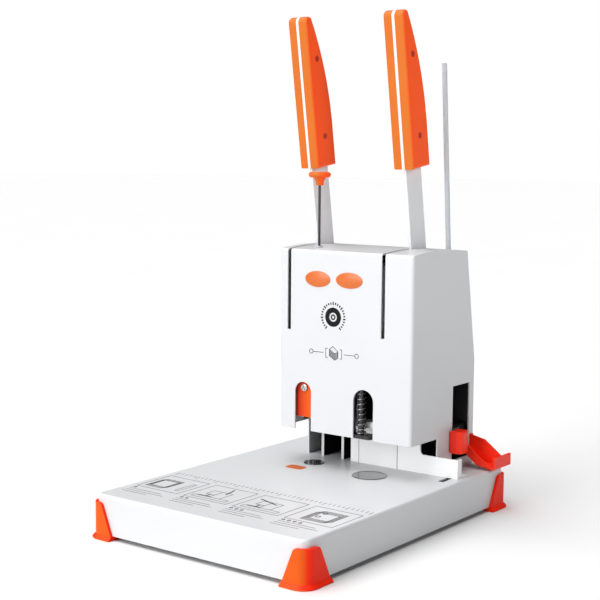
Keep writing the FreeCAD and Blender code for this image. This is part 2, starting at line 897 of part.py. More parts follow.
def grip_corners():
    # side view of a grip in the lever's own frame, with the front to the left
    straight = s.grip_start + s.grip_straight
    end = s.grip_start + s.grip_length
    return [
        (s.grip_back, s.grip_start), (s.grip_back, straight), (-s.grip_tip_back, end),
        (-s.grip_front, end - s.grip_tip_drop), (-s.grip_front, s.grip_start),
    ]


grip_bows = {1: s.grip_belly, 2: s.grip_crown}
grip_screw_places = [
    (0, s.grip_start + s.grip_screw_low),
    (-s.grip_screw_head, s.grip_start + s.grip_screw_high),
]


def upright(body):
    # a lever piece leans forward with its bar
    place(body, 0, s.pivot_y, pivot_z, Rotation(Vector(1, 0, 0), s.lever_lean.value))
    body.setExpression("Placement.Rotation.Angle", s.lever_lean.formula)


def lever(side, sign):
    centre = sign * s.lever_x
    inner = centre - s.bar_thickness / 2
    half = s.bar_width / 2
    bar = new_body(f"{side}_lever_bar")
    upright(bar)
    profile = [(-half, 0), (half, 0), (half, s.grip_start)] + grip_corners() + [(-half, s.grip_start)]
    bows = {0: half, 4: s.grip_belly, 5: s.grip_crown}
    pad(bar, outline(bar, "YZ_Plane", profile, inner, bows), s.bar_thickness)
    bore = circle(bar, "YZ_Plane", 0, 0, s.shaft_radius + s.running_fit, inner)
    cut(bar, bore, s.bar_thickness, reverse=True)
    for y, z in grip_screw_places:
        hole = circle(bar, "YZ_Plane", y, z, s.grip_screw_radius + s.screw_gap, inner)
        cut(bar, hole, s.bar_thickness, reverse=True)
    screws = []
    far = inner + s.bar_thickness
    for half_name, start, outer in (("left", inner - s.grip_shell, inner - s.grip_shell),
                                    ("right", far, far + s.grip_shell)):
        shell = new_body(f"{side}_grip_{half_name}_shell")
        upright(shell)
        pad(shell, outline(shell, "YZ_Plane", grip_corners(), start, grip_bows), s.grip_shell)
        soften(shell, s.grip_edge, lambda e: lies(e, x=outer))
        for y, z in grip_screw_places:
            hole = circle(shell, "YZ_Plane", y, z, s.grip_screw_radius + s.screw_gap, start)
            cut(shell, hole, s.grip_shell, reverse=True)
            sink = circle(shell, "YZ_Plane", y, z, s.grip_screw_head + s.screw_gap, outer)
            cut(shell, sink, 2 * s.grip_screw_sink, symmetric=True)
    for spot, (y, z) in zip(("low", "high"), grip_screw_places):
        screw = new_body(f"{side}_{spot}_grip_screw")
        upright(screw)
        nodes.pop(screw.Name)
        length = s.bar_thickness + 2 * s.grip_shell - 2 * s.grip_screw_sink
        start = inner - s.grip_shell + s.grip_screw_sink
        pad(screw, circle(screw, "YZ_Plane", y, z, s.grip_screw_radius, start), length)
        head = s.grip_screw_height
        pad(screw, circle(screw, "YZ_Plane", y, z, s.grip_screw_head, start), head, reverse=True)
        pad(screw, circle(screw, "YZ_Plane", y, z, s.grip_screw_head, start + length), head)
        screws.append(screw)
    group(f"{side}_grip_screws", screws)


def rod_guides():
    # guide rods held between an upper and a lower block at each station
    blocks, rods = [], []
    stations = (
        ("left", left_outer_x + s.plate_sheet, left_inner_x, s.ram_rod_y, [left_x]),
        ("right", right_inner_x + s.plate_sheet, right_outer_x, s.right_rod_y, right_rod_places),
    )
    for side, low_x, high_x, rod_y, rod_places in stations:
        low_y, high_y = rod_y - s.rod_block_depth / 2, rod_y + s.rod_block_depth / 2
        for level, z in (("lower", plate_floor), ("upper", plate_top - s.rod_block_height)):
            solid = block(f"{side}_{level}_solid", (low_x, low_y, z),
                          (high_x, high_y, z + s.rod_block_height))
            bores = [cylinder(f"{side}_{level}_bore_{i}", s.rod_radius, s.rod_block_height, x, rod_y, z)
                     for i, x in enumerate(rod_places)]
            tool = bores[0] if len(bores) == 1 else join(f"{side}_{level}_bores", bores)
            blocks.append(remove(f"{side}_{level}_block", solid, tool))
        rods += [cylinder(f"{side}_rod_{i}", s.rod_radius, plate_top - plate_floor, x, rod_y, plate_floor)
                 for i, x in enumerate(rod_places)]
    group("rod_blocks", blocks)
    group("guide_rods", rods)


def rivet_ram():
    body = new_body("rivet_ram")
    neck_back = s.ram_front_y + s.ram_neck_depth
    neck_z, body_z, top_z = base_top + s.ram_neck_rise, base_top + s.ram_body_rise, ram_top
    width = s.left_plate_gap - 2 * s.slide_gap
    low_x = left_x - width / 2
    profile = outline(body, "YZ_Plane", [
        (s.ram_front_y, neck_z), (neck_back, neck_z), (neck_back, body_z), (rack_root_y, body_z),
        (rack_root_y, top_z), (s.ram_front_y, top_z),
    ], low_x)
    pad(body, profile, width)
    rack_on(body, low_x, width)
    bore = circle(body, "XY_Plane", left_x, s.ram_rod_y, s.rod_radius + s.running_fit, top_z)
    cut(body, bore, top_z - body_z)
    hole = circle(body, "XZ_Plane", shroud_screw_x, shroud_screw_z, screw_hole, -s.ram_front_y)
    cut(body, hole, s.ram_neck_depth / 2)


shroud_screw_x = left_x - s.shroud_screw_offset
shroud_screw_z = base_top + s.shroud_screw_rise
screw_hole = s.shroud_screw_radius + s.screw_gap


def rivet_tool():
    half = s.heater_width / 2
    top = base_top + s.ram_neck_rise
    low = top - s.heater_height
    solid = block("heater_solid", (left_x - half, s.rivet_y - half, low),
                  (left_x + half, s.rivet_y + half, top))
    middle = low + s.heater_height / 2
    bore = cylinder("heater_bore", s.heater_bore, s.heater_width, left_x - half, s.rivet_y, middle, "X")
    cartridge = cylinder("heater_cartridge", s.heater_bore - s.screw_gap, s.heater_width,
                         left_x - half, s.rivet_y, middle, "X")
    group("heater_block", [remove("bored_heater_block", solid, bore), cartridge])
    tip = base_top + s.lower_die_rim + s.lower_die_nub_height + s.ram_travel + s.slide_gap
    shoulder = (low + tip) / 2
    edge = s.upper_die_edge
    turned("upper_rivet_die", left_x, s.rivet_y, [
        (0, tip + edge), (s.upper_die_tip - edge, tip), (s.upper_die_tip, tip + edge),
        (s.upper_die_tip, shoulder), (s.upper_die_radius, shoulder + s.upper_die_cone),
        (s.upper_die_radius, low), (0, low),
    ])
    seat = base_top + s.lower_die_rim
    nub_top = seat + s.lower_die_nub_height
    stem_low = base_top - s.lower_die_stem_length
    edge, nub = s.lower_die_edge, s.lower_die_nub
    turned("lower_rivet_die", left_x, s.rivet_y, [
        (0, stem_low), (s.lower_die_stem, stem_low), (s.lower_die_stem, base_top),
        (s.lower_die_radius, base_top), (s.lower_die_radius, seat - edge), (s.lower_die_radius - edge, seat),
        (nub, seat), (nub, nub_top - edge), (nub - edge, nub_top), (s.lower_die_dimple, nub_top), (0, seat),
    ])


def heat_shroud():
    body = new_body("heat_shroud")
    half = s.shroud_width / 2
    low, top = base_top + s.shroud_low_rise, base_top + s.shroud_top_rise
    spring = top - half

    def arch(edge, bottom, offset):
        return outline(body, "XZ_Plane", [
            (left_x - edge, bottom), (left_x + edge, bottom),
            (left_x + edge, spring), (left_x - edge, spring),
        ], offset, arcs={2: edge})

    depth = s.ram_front_y - s.shroud_front_y
    pad(body, arch(half, low, -s.shroud_front_y), depth, reverse=True)
    soften(body, s.shroud_wall, lambda e: lies(e, y=s.shroud_front_y) and not lies(e, z=low))
    hollow = arch(half - s.shroud_wall, low - s.shroud_wall, -s.ram_front_y)
    cut(body, hollow, depth - s.shroud_wall, reverse=True)
    inside = s.shroud_front_y + s.shroud_wall
    boss = circle(body, "XZ_Plane", shroud_screw_x, shroud_screw_z, 2 * s.shroud_screw_radius, -inside)
    pad(body, boss, s.ram_front_y - inside, reverse=True)
    hole = circle(body, "XZ_Plane", shroud_screw_x, shroud_screw_z, screw_hole, -s.shroud_front_y)
    cut(body, hole, depth)
    head = cylinder("shroud_screw_head", s.shroud_screw_head, s.shroud_screw_height,
                    shroud_screw_x, s.shroud_front_y - s.shroud_screw_height, shroud_screw_z, "Y")
    length = depth + s.ram_neck_depth / 2
    shank = cylinder("shroud_screw_shank", s.shroud_screw_radius, length,
                     shroud_screw_x, s.shroud_front_y, shroud_screw_z, "Y")
    nodes["shroud_screw"] = join("shroud_screw", [head, shank])


carriage_low = base_top + s.carriage_low_rise
carriage_top = carriage_low + s.carriage_height
hanger_x = s.drill_x - s.hanger_inset
hanger_y = (s.foot_plate_front_y + s.foot_plate_back_y) / 2
hanger_places = [(hanger_x, hanger_y - s.hanger_spread), (hanger_x, hanger_y + s.hanger_spread)]
right_rod_places = [s.drill_x - s.right_rod_spread, s.drill_x + s.right_rod_spread]
bracket_z = base_top + s.bracket_rise
pulley_z = bracket_z + s.bracket_sheet + s.pulley_lift


def drill_carriage():
    body = new_body("drill_carriage")
    side = s.right_plate_gap / 2 - s.slide_gap
    left, right = s.drill_x - side, s.drill_x + side
    bar_left = right - s.rack_bar_width
    arm_left, arm_right = s.drill_x - s.carriage_arm_left, s.drill_x + s.carriage_arm_right
    plan = outline(body, "XY_Plane", [
        (arm_left, s.carriage_front_y), (arm_right, s.carriage_front_y), (arm_right, s.carriage_body_y),
        (right, s.carriage_body_y), (right, rack_root_y), (bar_left, rack_root_y),
        (bar_left, s.carriage_back_y), (left, s.carriage_back_y), (left, s.carriage_body_y),
        (arm_left, s.carriage_body_y),
    ], carriage_low)
    pad(body, plan, s.carriage_height)
    bar = box_outline(body, "XY_Plane", (bar_left, s.rack_bar_front_y), (right, rack_root_y), carriage_low)
    pad(body, bar, ram_top - carriage_low)
    rack_on(body, bar_left, s.rack_bar_width)
    bores = [(x, s.right_rod_y, s.rod_radius) for x in right_rod_places]
    bores += [(x, y, s.hanger_radius) for x, y in hanger_places]
    bores.append((s.drill_x, s.drill_y, s.spindle_radius))
    for x, y, radius in bores:
        cut(body, circle(body, "XY_Plane", x, y, radius + s.running_fit, carriage_top), s.carriage_height)


def drill_drive():
    bracket = new_body("motor_bracket")
    left = s.drill_x - s.right_plate_gap / 2 + s.slide_gap
    right = s.motor_x + s.motor_radius
    leg = s.carriage_back_y + s.bracket_sheet
    reach = s.motor_y + s.motor_radius
    profile = outline(bracket, "YZ_Plane", [
        (s.carriage_back_y, carriage_low), (leg, carriage_low), (leg, bracket_z), (reach, bracket_z),
        (reach, bracket_z + s.bracket_sheet), (s.carriage_back_y, bracket_z + s.bracket_sheet),
    ], left)
    pad(bracket, profile, right - left)
    plate_z = bracket_z + s.bracket_sheet
    shaft_hole = circle(bracket, "XY_Plane", s.motor_x, s.motor_y, 2 * s.motor_shaft_radius, plate_z)
    cut(bracket, shaft_hole, s.bracket_sheet)
    low = bracket_z - s.motor_length
    boss, boss_low, edge = s.motor_boss_radius, low - s.motor_boss_height, s.motor_edge
    turned("drill_motor", s.motor_x, s.motor_y, [
        (0, boss_low), (boss, boss_low), (boss, low), (s.motor_radius - edge, low),
        (s.motor_radius, low + edge), (s.motor_radius, bracket_z), (0, bracket_z),
    ])
    core, flange = s.motor_pulley, s.motor_pulley + s.pulley_flange
    top = pulley_z + s.pulley_height
    shaft_low = bracket_z + s.pulley_gap
    turned("motor_pulley", s.motor_x, s.motor_y,
           pulley_profile(s.motor_shaft_radius, core, flange, shaft_low, top))
    turned("spindle", s.drill_x, s.drill_y, spindle_profile(top))
    tip = base_top + s.drill_tip_rise
    drill_top = tip + s.drill_length
    turned("hollow_drill", s.drill_x, s.drill_y, [
        (s.drill_bore, tip + s.drill_throat), (s.drill_radius - s.drill_land, tip),
        (s.drill_radius, tip + s.drill_relief),
        (s.drill_radius, drill_top), (s.drill_bore, drill_top),
    ])
    drive_belt()


def pulley_profile(shaft, core, flange, low, top):
    rim = s.pulley_flange
    return [(0, low), (shaft, low), (shaft, pulley_z), (flange, pulley_z), (flange, pulley_z + rim / 2),
            (core, pulley_z + rim), (core, top - rim), (flange, top - rim / 2), (flange, top), (0, top)]


def spindle_profile(top):
    # bored nose for the drill, plain journal in the carriage, pulley above
    nose_low = carriage_low - s.spindle_nose_length
    bore_top = base_top + s.drill_tip_rise + s.drill_length
    core, flange, rim = s.spindle_pulley, s.spindle_pulley + s.pulley_flange, s.pulley_flange
    bore, neck = s.drill_radius + s.spindle_fit, s.spindle_neck
    shoulder, collar = carriage_low - s.spindle_gap, carriage_top + s.spindle_collar
    return [
        (bore, nose_low), (s.spindle_nose, nose_low), (s.spindle_nose, shoulder),
        (s.spindle_radius, shoulder), (s.spindle_radius, collar),
        (neck, collar + s.spindle_collar), (neck, pulley_z),
        (flange, pulley_z), (flange, pulley_z + rim / 2), (core, pulley_z + rim),
        (core, top - rim), (flange, top - rim / 2), (flange, top), (0, top), (0, bore_top), (bore, bore_top),
    ]


def loop_face(radii, z):
    # the flat outline of a belt round two pulleys
    (x1, y1, r1), (x2, y2, r2) = radii
    first, last = Vector(x1, y1, z), Vector(x2, y2, z)
    along = last - first
    heading = math.atan2(along.y, along.x)
    spread = math.acos((r1 - r2) / along.Length)
    points = []
    for centre, radius, middle in ((first, r1, heading + math.pi), (last, r2, heading)):
        opening = spread if centre is last else math.pi - spread
        points.append([centre + Vector(radius * math.cos(a), radius * math.sin(a), 0)
                       for a in (middle - opening, middle, middle + opening)])
    (a1, a2, a3), (b1, b2, b3) = points
    edges = [Part.Arc(a1, a2, a3).toShape(), Part.makeLine(a3, b1),
             Part.Arc(b1, b2, b3).toShape(), Part.makeLine(b3, a1)]
    return Part.Face(Part.Wire(edges))


def drive_belt():
    z = (pulley_z + s.pulley_height / 2 - s.belt_width / 2).value
    radii = []
    for grow in (s.belt_gap, s.belt_gap + s.belt_thickness):
        radii.append([(s.drill_x.value, s.drill_y.value, (s.spindle_pulley + grow).value),
                      (s.motor_x.value, s.motor_y.value, (s.motor_pulley + grow).value)])
    inner, outer = [loop_face(pair, z).extrude(Vector(0, 0, s.belt_width.value)) for pair in radii]
    belt = doc.addObject("Part::Feature", "drive_belt")
    belt.Shape = outer.cut(inner)
    nodes["drive_belt"] = belt


def press_foot():
    body = new_body("press_foot")
    low = base_top + s.foot_plate_rise
    top = low + s.foot_plate_height
    plan = box_outline(body, "XY_Plane", (s.drill_x - s.foot_plate_left, s.foot_plate_front_y),
                       (s.drill_x + s.foot_plate_right, s.foot_plate_back_y), low)
    pad(body, plan, s.foot_plate_height)
    soften(body, s.foot_plate_corner, lambda e: e.BoundBox.ZLength > 1)
    hole = circle(body, "XY_Plane", s.drill_x, s.drill_y, s.drill_radius + 3 * s.contact_gap, top)
    cut(body, hole, s.foot_plate_height)
    pins = []
    head_z = carriage_top + s.contact_gap
    for i, (x, y) in enumerate(hanger_places):
        shank = cylinder(f"hanger_shank_{i}", s.hanger_radius, head_z - top, x, y, top)
        head = cylinder(f"hanger_head_{i}", s.hanger_head, s.hanger_head_height, x, y, head_z)
        pins.append(join(f"hanger_{i}", [shank, head]))
    group("press_foot_hangers", pins)


def arc_from(start, heading, end):
    # the arc that leaves a point along a heading and meets another point
    chord = end - start
    along = Vector(chord).normalize()
    across = heading - along * heading.dot(along)
    lean = math.atan2(across.Length, heading.dot(along))
    middle = (start + end) * 0.5 + Vector(across).normalize() * (chord.Length / 2 * math.tan(lean / 2))
    return Part.Arc(start, middle, end)


def biarc(start, start_heading, end, end_heading):
    # two arcs that share a tangent where they meet
    chord = end - start
    total = start_heading + end_heading
    spread = 2 * (1 - start_heading.dot(end_heading))
    reach = (-chord.dot(total) + math.sqrt(chord.dot(total) ** 2 + spread * chord.dot(chord))) / spread
    meet = (start + end + (start_heading - end_heading) * reach) * 0.5
    second = arc_from(end, end_heading * -1, meet)
    return [arc_from(start, start_heading, meet), Part.Arc(meet, second.value(second.parameterAtDistance(
        second.length() / 2, second.FirstParameter)), end)]


def press_spring():
    # one helix round the drill, with short upright ends that meet the foot and the carriage
    wire, radius, bend = s.spring_wire.value, s.spring_radius.value, s.spring_bend.value
    low = (base_top + s.foot_plate_rise + s.foot_plate_height + s.contact_gap).value
    high = (carriage_low - s.contact_gap).value
    axis = Vector(s.drill_x.value, s.drill_y.value, 0)
    start_z, end_z = low + wire + bend, high - wire - bend
    quarters = int(round(s.spring_turns.value * 4))
    rise = (end_z - start_z) / quarters
    climb = math.hypot(radius * math.pi / 2, rise)
    points, headings = [], []
    for i in range(quarters + 1):
        turn = math.pi / 2 * i
        points.append(axis + Vector(radius * math.cos(turn), radius * math.sin(turn), start_z + rise * i))
        level = radius * math.pi / 2 / climb
        headings.append(Vector(-math.sin(turn) * level, math.cos(turn) * level, rise / climb))
    curves = []
    for i in range(quarters):
        curves += biarc(points[i], headings[i], points[i + 1], headings[i + 1])
    up = Vector(0, 0, 1)
    for point, heading, sign in ((points[0], headings[0], -1), (points[-1], headings[-1], 1)):
        level = Vector(heading.x, heading.y, 0).normalize()
        elbow = point + level * (sign * bend) + up * (sign * bend)
        seat = elbow + up * (sign * wire)
        arc = arc_from(elbow, up * -sign, point)
        if sign < 0:
            curves = [Part.LineSegment(seat, elbow), arc] + curves
        else:
            middle = arc.value(arc.parameterAtDistance(arc.length() / 2, arc.FirstParameter))
            curves += [Part.Arc(point, middle, elbow), Part.LineSegment(elbow, seat)]
    path = Part.Wire([curve.toShape() for curve in curves])
    first = curves[0].StartPoint
    ring = Part.Wire([Part.Circle(first, up, wire / 2).toShape()])
    spring = doc.addObject("Part::Feature", "press_spring")
    spring.Shape = path.makePipeShell([ring], True, False)
    nodes["press_spring"] = spring
    samples = path.discretize(Number=40 * int(s.spring_turns.value))
    skip = 20
    least = min(a.distanceToPoint(b) for i, a in enumerate(samples) for b in samples[i + skip:])
    print("press_spring least gap to itself", round(least - wire, 2), "mm")


def drill_pad():
    seat = base_top + s.contact_gap
    top = base_top + s.pad_rim
    spigot_low, face = base_top - s.pad_spigot_length, top - s.pad_sink
    edge, land = s.pad_edge, s.pad_radius - s.pad_land
    turned("drill_pad", s.pad_x, s.pad_y, [
        (0, spigot_low), (s.pad_spigot, spigot_low), (s.pad_spigot, seat), (s.pad_radius, seat),
        (s.pad_radius, top - edge), (s.pad_radius - edge, top), (land, top),
        (land - s.pad_step, face), (0, face),
    ])


def paper_stops():
    plate_right = s.throat_plate_width - s.throat_plate_left
    nodes["throat_plate"] = block("throat_plate", (-s.throat_plate_left, s.stop_front_y, base_top),
                                  (plate_right, stop_back_y, base_top + s.throat_plate_height))
    short = new_body("short_paper_stop")
    end = -s.throat_plate_left - s.stop_seam
    bend = outline(short, "YZ_Plane", [
        (s.stop_front_y, base_top), (stop_back_y + s.stop_foot, base_top),
        (stop_back_y + s.stop_foot, base_top + s.stop_sheet), (stop_back_y, base_top + s.stop_sheet),
        (stop_back_y, base_top + s.throat_plate_height),
        (s.stop_front_y, base_top + s.throat_plate_height),
    ], end - s.short_stop_width)
    pad(short, bend, s.short_stop_width)
    fence = new_body("paper_fence")
    low = base_top + s.fence_lift
    start = plate_right + s.stop_seam
    high, right = base_top + s.fence_height, s.fence_right_x
    shoulder, peak = s.fence_shoulder_x, base_top + s.fence_peak
    face = outline(fence, "XZ_Plane", [
        (start, low), (right, low), (right, high), (shoulder, high), (shoulder, peak), (start, peak),
    ], -s.stop_front_y)
    pad(fence, face, s.stop_sheet, reverse=True)
    soften(fence, s.fence_round, lambda e: lies(e, x=shoulder, z=high))
    foot = box_outline(fence, "XY_Plane", (right - s.fence_foot_width, s.stop_front_y),
                       (right, stop_back_y + s.fence_foot_depth), low)
    pad(fence, foot, s.stop_sheet)
    end_flange = box_outline(fence, "YZ_Plane", (stop_back_y, low),
                             (stop_back_y + s.fence_return, high), right - s.stop_sheet)
    pad(fence, end_flange, s.stop_sheet)
    nut_top = base_top - s.base_sheet - s.fence_lift
    stud = circle(fence, "XY_Plane", s.fence_slot_x, s.fence_stud_y, s.fence_stud_radius, low)
    pad(fence, stud, low - nut_top + s.fence_nut_height, reverse=True)
    nut = circle(fence, "XY_Plane", s.fence_slot_x, s.fence_stud_y, s.fence_nut_radius, nut_top)
    pad(fence, nut, s.fence_nut_height, reverse=True)


def housing_cover():
    body = new_body("housing_cover")
    back, top_back = s.cover_back_y - s.rear_sheet, s.cover_top_back_y - s.rear_sheet
    width = s.cover_left + s.cover_right
    profile = outline(body, "YZ_Plane", [
        (s.cover_front_y, cover_floor), (s.column_front_y, cover_floor), (s.column_front_y, base_top),
        (back, base_top), (back, kink_z), (top_back, cover_top), (s.cover_front_y, cover_top),
    ], -s.cover_left, arcs={5: s.crown_rise})
    pad(body, profile, width)
    soften(body, s.cover_bend, lambda e: lies(e, x=-s.cover_left, y=s.cover_front_y)
           or lies(e, x=s.cover_right, y=s.cover_front_y) or lies(e, y=s.cover_front_y, z=cover_top))
    inner_front, inner_top = s.cover_front_y + s.cover_sheet, cover_top - s.cover_sheet
    far = s.cover_back_y + s.rear_flange
    inside = outline(body, "YZ_Plane", [
        (inner_front, s.foot_drop), (far, s.foot_drop), (far, inner_top),
        (top_back, inner_top), (inner_front, inner_top),
    ], -s.cover_left + s.cover_sheet, arcs={3: s.crown_rise})
    cut(body, inside, width - 2 * s.cover_sheet, reverse=True)
    half = s.bar_thickness / 2 + s.slot_gap
    for sign in (-1, 1):
        x = sign * s.lever_x
        slot = box_outline(body, "XZ_Plane", (x - half, cover_top - s.slot_depth),
                           (x + half, cover_top + 4 * s.crown_rise), -s.slot_back_y)
        cut(body, slot, s.slot_back_y, reverse=True)
    for x, span in ((-s.left_arch_x, s.left_arch_width), (s.right_arch_x, s.right_arch_width)):
        edge = span / 2
        spring = base_top + s.arch_top_rise - edge
        arch = outline(body, "XZ_Plane", [
            (x - edge, cover_floor - edge), (x + edge, cover_floor - edge),
            (x + edge, spring), (x - edge, spring),
        ], -s.cover_front_y, arcs={2: edge})
        cut(body, arch, 2 * s.cover_sheet)
    window = box_outline(body, "YZ_Plane", (s.window_front_y, base_top + s.window_low_rise),
                         (s.window_back_y, base_top + s.window_top_rise), wall_inner_x)
    cut(body, window, s.cover_sheet, reverse=True)
    rise = tangent(s.tube_lean) * (cover_top - guide_z)
    for x, y, radius in ((-s.pin_x, s.pin_y, s.socket_radius + s.screw_gap),
                         (s.tube_x - rise, s.tube_y, s.tube_hole)):
        hole = circle(body, "XY_Plane", x, y, radius, cover_top + 2 * s.crown_rise)
        cut(body, hole, 3 * s.crown_rise + 2 * s.cover_sheet)


def rear_panel():
    body = new_body("rear_panel")
    back, top_back = s.cover_back_y, s.cover_top_back_y
    width = s.cover_left + s.cover_right
    profile = outline(body, "YZ_Plane", [
        (back - s.rear_sheet, base_top), (back, base_top), (back, kink_z), (top_back, cover_top),
        (top_back - s.rear_sheet, cover_top), (back - s.rear_sheet, kink_z),
    ], -s.cover_left)
    pad(body, profile, width)
    flange_y = back - s.rear_sheet - s.rear_flange
    for x in (-s.cover_left + s.cover_sheet + s.screw_gap, wall_inner_x - s.screw_gap - s.rear_sheet):
        flange = box_outline(body, "YZ_Plane", (flange_y, base_top + s.rear_flange),
                             (back - s.rear_sheet, kink_z), x)
        pad(body, flange, s.rear_sheet)
    centre = (s.cover_right - s.cover_left) / 2
    reach, side = s.louvre_length / 2, s.louvre_width / 2
    z = cover_top - s.louvre_drop
    louvre = outline(body, "XZ_Plane", [
        (centre - reach, z - side), (centre + reach, z - side),
        (centre + reach, z + side), (centre - reach, z + side),
    ], -s.cover_back_y, arcs={1: side, 3: side})
    slit = cut(body, louvre, s.cover_back_y / 4, symmetric=True)
    repeat(body, slit, "LinearPattern", "Z_Axis", s.louvre_count, (s.louvre_count - 1) * s.louvre_pitch)
    for x, rise, across, high in ((s.inlet_x, s.inlet_rise, s.inlet_width, s.inlet_height),
                                  (s.switch_x, s.switch_rise, s.switch_width, s.switch_height)):
        z = base_top + rise
        hole = box_about(body, x, z, across / 2, high / 2, back)
        cut(body, hole, s.rear_sheet, reverse=True)


def power_inlet():
    z = base_top + s.inlet_rise
    half, tall, back = s.inlet_width / 2, s.inlet_height / 2, s.cover_back_y
    gap, rim = s.screw_gap, s.inlet_flange
    body = new_body("power_inlet")
    shell = box_about(body, s.inlet_x, z, half - gap, tall - gap, back)
    pad(body, shell, s.inlet_depth)
    flange = box_about(body, s.inlet_x, z, half + rim, tall + rim, back)
    pad(body, flange, s.switch_wall, reverse=True)
    inner, low = half - rim, tall - rim
    corner = s.inlet_height / 4
    well = outline(body, "XZ_Plane", [
        (s.inlet_x - inner, z - low), (s.inlet_x + inner, z - low), (s.inlet_x + inner, z + low - corner),
        (s.inlet_x + inner - corner, z + low), (s.inlet_x - inner + corner, z + low),
        (s.inlet_x - inner, z + low - corner),
    ], -back - s.switch_wall)
    cut(body, well, s.inlet_well + s.switch_wall, reverse=True)
    pin_gap = s.inlet_width / 4
    for x, rise in ((s.inlet_x - pin_gap, 0), (s.inlet_x + pin_gap, 0), (s.inlet_x, s.inlet_height / 8)):
        blade = box_about(body, x, z + rise, s.blade_width / 2, s.blade_height / 2, back - s.inlet_well)
        pad(body, blade, s.blade_length, reverse=True)


def power_switch():
    z = base_top + s.switch_rise
    half, tall, back, wall = s.switch_width / 2, s.switch_height / 2, s.cover_back_y, s.switch_wall
    gap = s.screw_gap
    body = new_body("switch_frame")
    shell = box_about(body, s.switch_x, z, half - gap, tall - gap, back)
    pad(body, shell, s.switch_depth)
    flange = box_about(body, s.switch_x, z, half + wall, tall + wall, back)
    pad(body, flange, wall, reverse=True)
    well = box_about(body, s.switch_x, z, half - wall, tall - wall, back + wall)
    cut(body, well, s.switch_depth, reverse=True)
    axis_y = back + wall / 2
    socket = s.rocker_pin_reach + s.screw_gap
    for end, upward in ((z - tall + wall, False), (z + tall - wall, True)):
        hole = circle(body, "XY_Plane", s.switch_x, axis_y, s.rocker_pin_radius + s.running_fit, end)
        cut(body, hole, socket, reverse=upward)
    rocker = new_body("switch_rocker")
    across, high = half - wall - s.rocker_gap, tall - wall - s.rocker_gap
    top = back + wall + s.rocker_lift
    deep = back - s.switch_depth / 2
    profile = outline(rocker, "XY_Plane", [
        (s.switch_x - across / 2, deep), (s.switch_x + across / 2, deep),
        (s.switch_x + across, back), (s.switch_x + across, top), (s.switch_x, top - s.rocker_lift),
        (s.switch_x - across, top - s.rocker_lift / 2), (s.switch_x - across, back),
    ], z - high)
    pad(rocker, profile, 2 * high)
    for end, upward in ((z - high, False), (z + high, True)):
        pin = circle(rocker, "XY_Plane", s.switch_x, axis_y, s.rocker_pin_radius, end)
        pad(rocker, pin, s.rocker_gap + s.rocker_pin_reach, reverse=not upward)


def tube_gauge():
    guide = new_body("tube_guide")
    start = right_outer_x + s.plate_sheet
    low_y, high_y = s.tube_y - s.guide_depth / 2, s.tube_y + s.guide_depth / 2
    plan = box_outline(guide, "XY_Plane", (start, low_y), (wall_inner_x - s.slide_gap, high_y), guide_z)
    pad(guide, plan, s.guide_height)
    rail_x = wall_inner_x - s.slide_gap - s.slide_depth - s.rail_depth
    rail_y = s.gauge_y + s.slide_width / 2 - s.rail_width / 2
    nodes["gauge_rail"] = block("gauge_rail", (rail_x, rail_y, base_top),
                                (rail_x + s.rail_depth, rail_y + s.rail_width, guide_z))
    lean = Rotation(Vector(0, 1, 0), -s.tube_lean.value)
    bottom = Vector(s.tube_x.value, s.tube_y.value, (guide_z + s.guide_floor).value)
    tube = doc.addObject("Part::Cut", "nylon_tube")
    tube.Base = cylinder("tube_outside", s.tube_radius, s.tube_length, 0, 0, 0)
    tube.Tool = cylinder("tube_bore", s.tube_bore, s.tube_length, 0, 0, 0)
    tube.Placement = Placement(bottom, lean)
    nodes["nylon_tube"] = tube
    bore = cylinder("guide_bore", s.tube_radius + s.tube_gap, s.guide_height * 2, 0, 0, 0)
    bore.Placement = Placement(bottom - Vector(0, 0, s.contact_gap.value), lean)
    nodes.pop("tube_guide")
    nodes["tube_guide"] = remove("bored_tube_guide", guide, bore)
    gauge_slide(rail_x)


def gauge_slide(rail_x):
    slide = new_body("gauge_slide")
    low = base_top + s.knob_rise
    inner = rail_x + s.rail_depth + s.slide_gap
    outer = wall_inner_x - s.slide_gap
    start_y = s.window_front_y + s.slide_gap
    centre_z = low + s.knob_height / 2
    plan = box_outline(slide, "XY_Plane", (inner, start_y), (outer, start_y + s.slide_width), low)
    pad(slide, plan, s.knob_height)
    knob_x = s.cover_right + s.knob_gap
    neck = box_outline(slide, "YZ_Plane", (start_y, centre_z - s.neck_height / 2),
                       (start_y + s.neck_width, centre_z + s.neck_height / 2), outer)
    pad(slide, neck, knob_x - outer)
    knob = new_body("gauge_knob")
    low_y, high_y = s.gauge_y - s.knob_width / 2, s.gauge_y + s.knob_width / 2
    plan = box_outline(knob, "XY_Plane", (knob_x, low_y), (knob_x + s.knob_depth, high_y), low)
    pad(knob, plan, s.knob_height)
    soften(knob, s.knob_corner, lambda e: lies(e, x=knob_x + s.knob_depth) and e.BoundBox.ZLength > 1)
    soften(knob, s.knob_edge, lambda e: lies(e, z=low) or lies(e, z=low + s.knob_height))


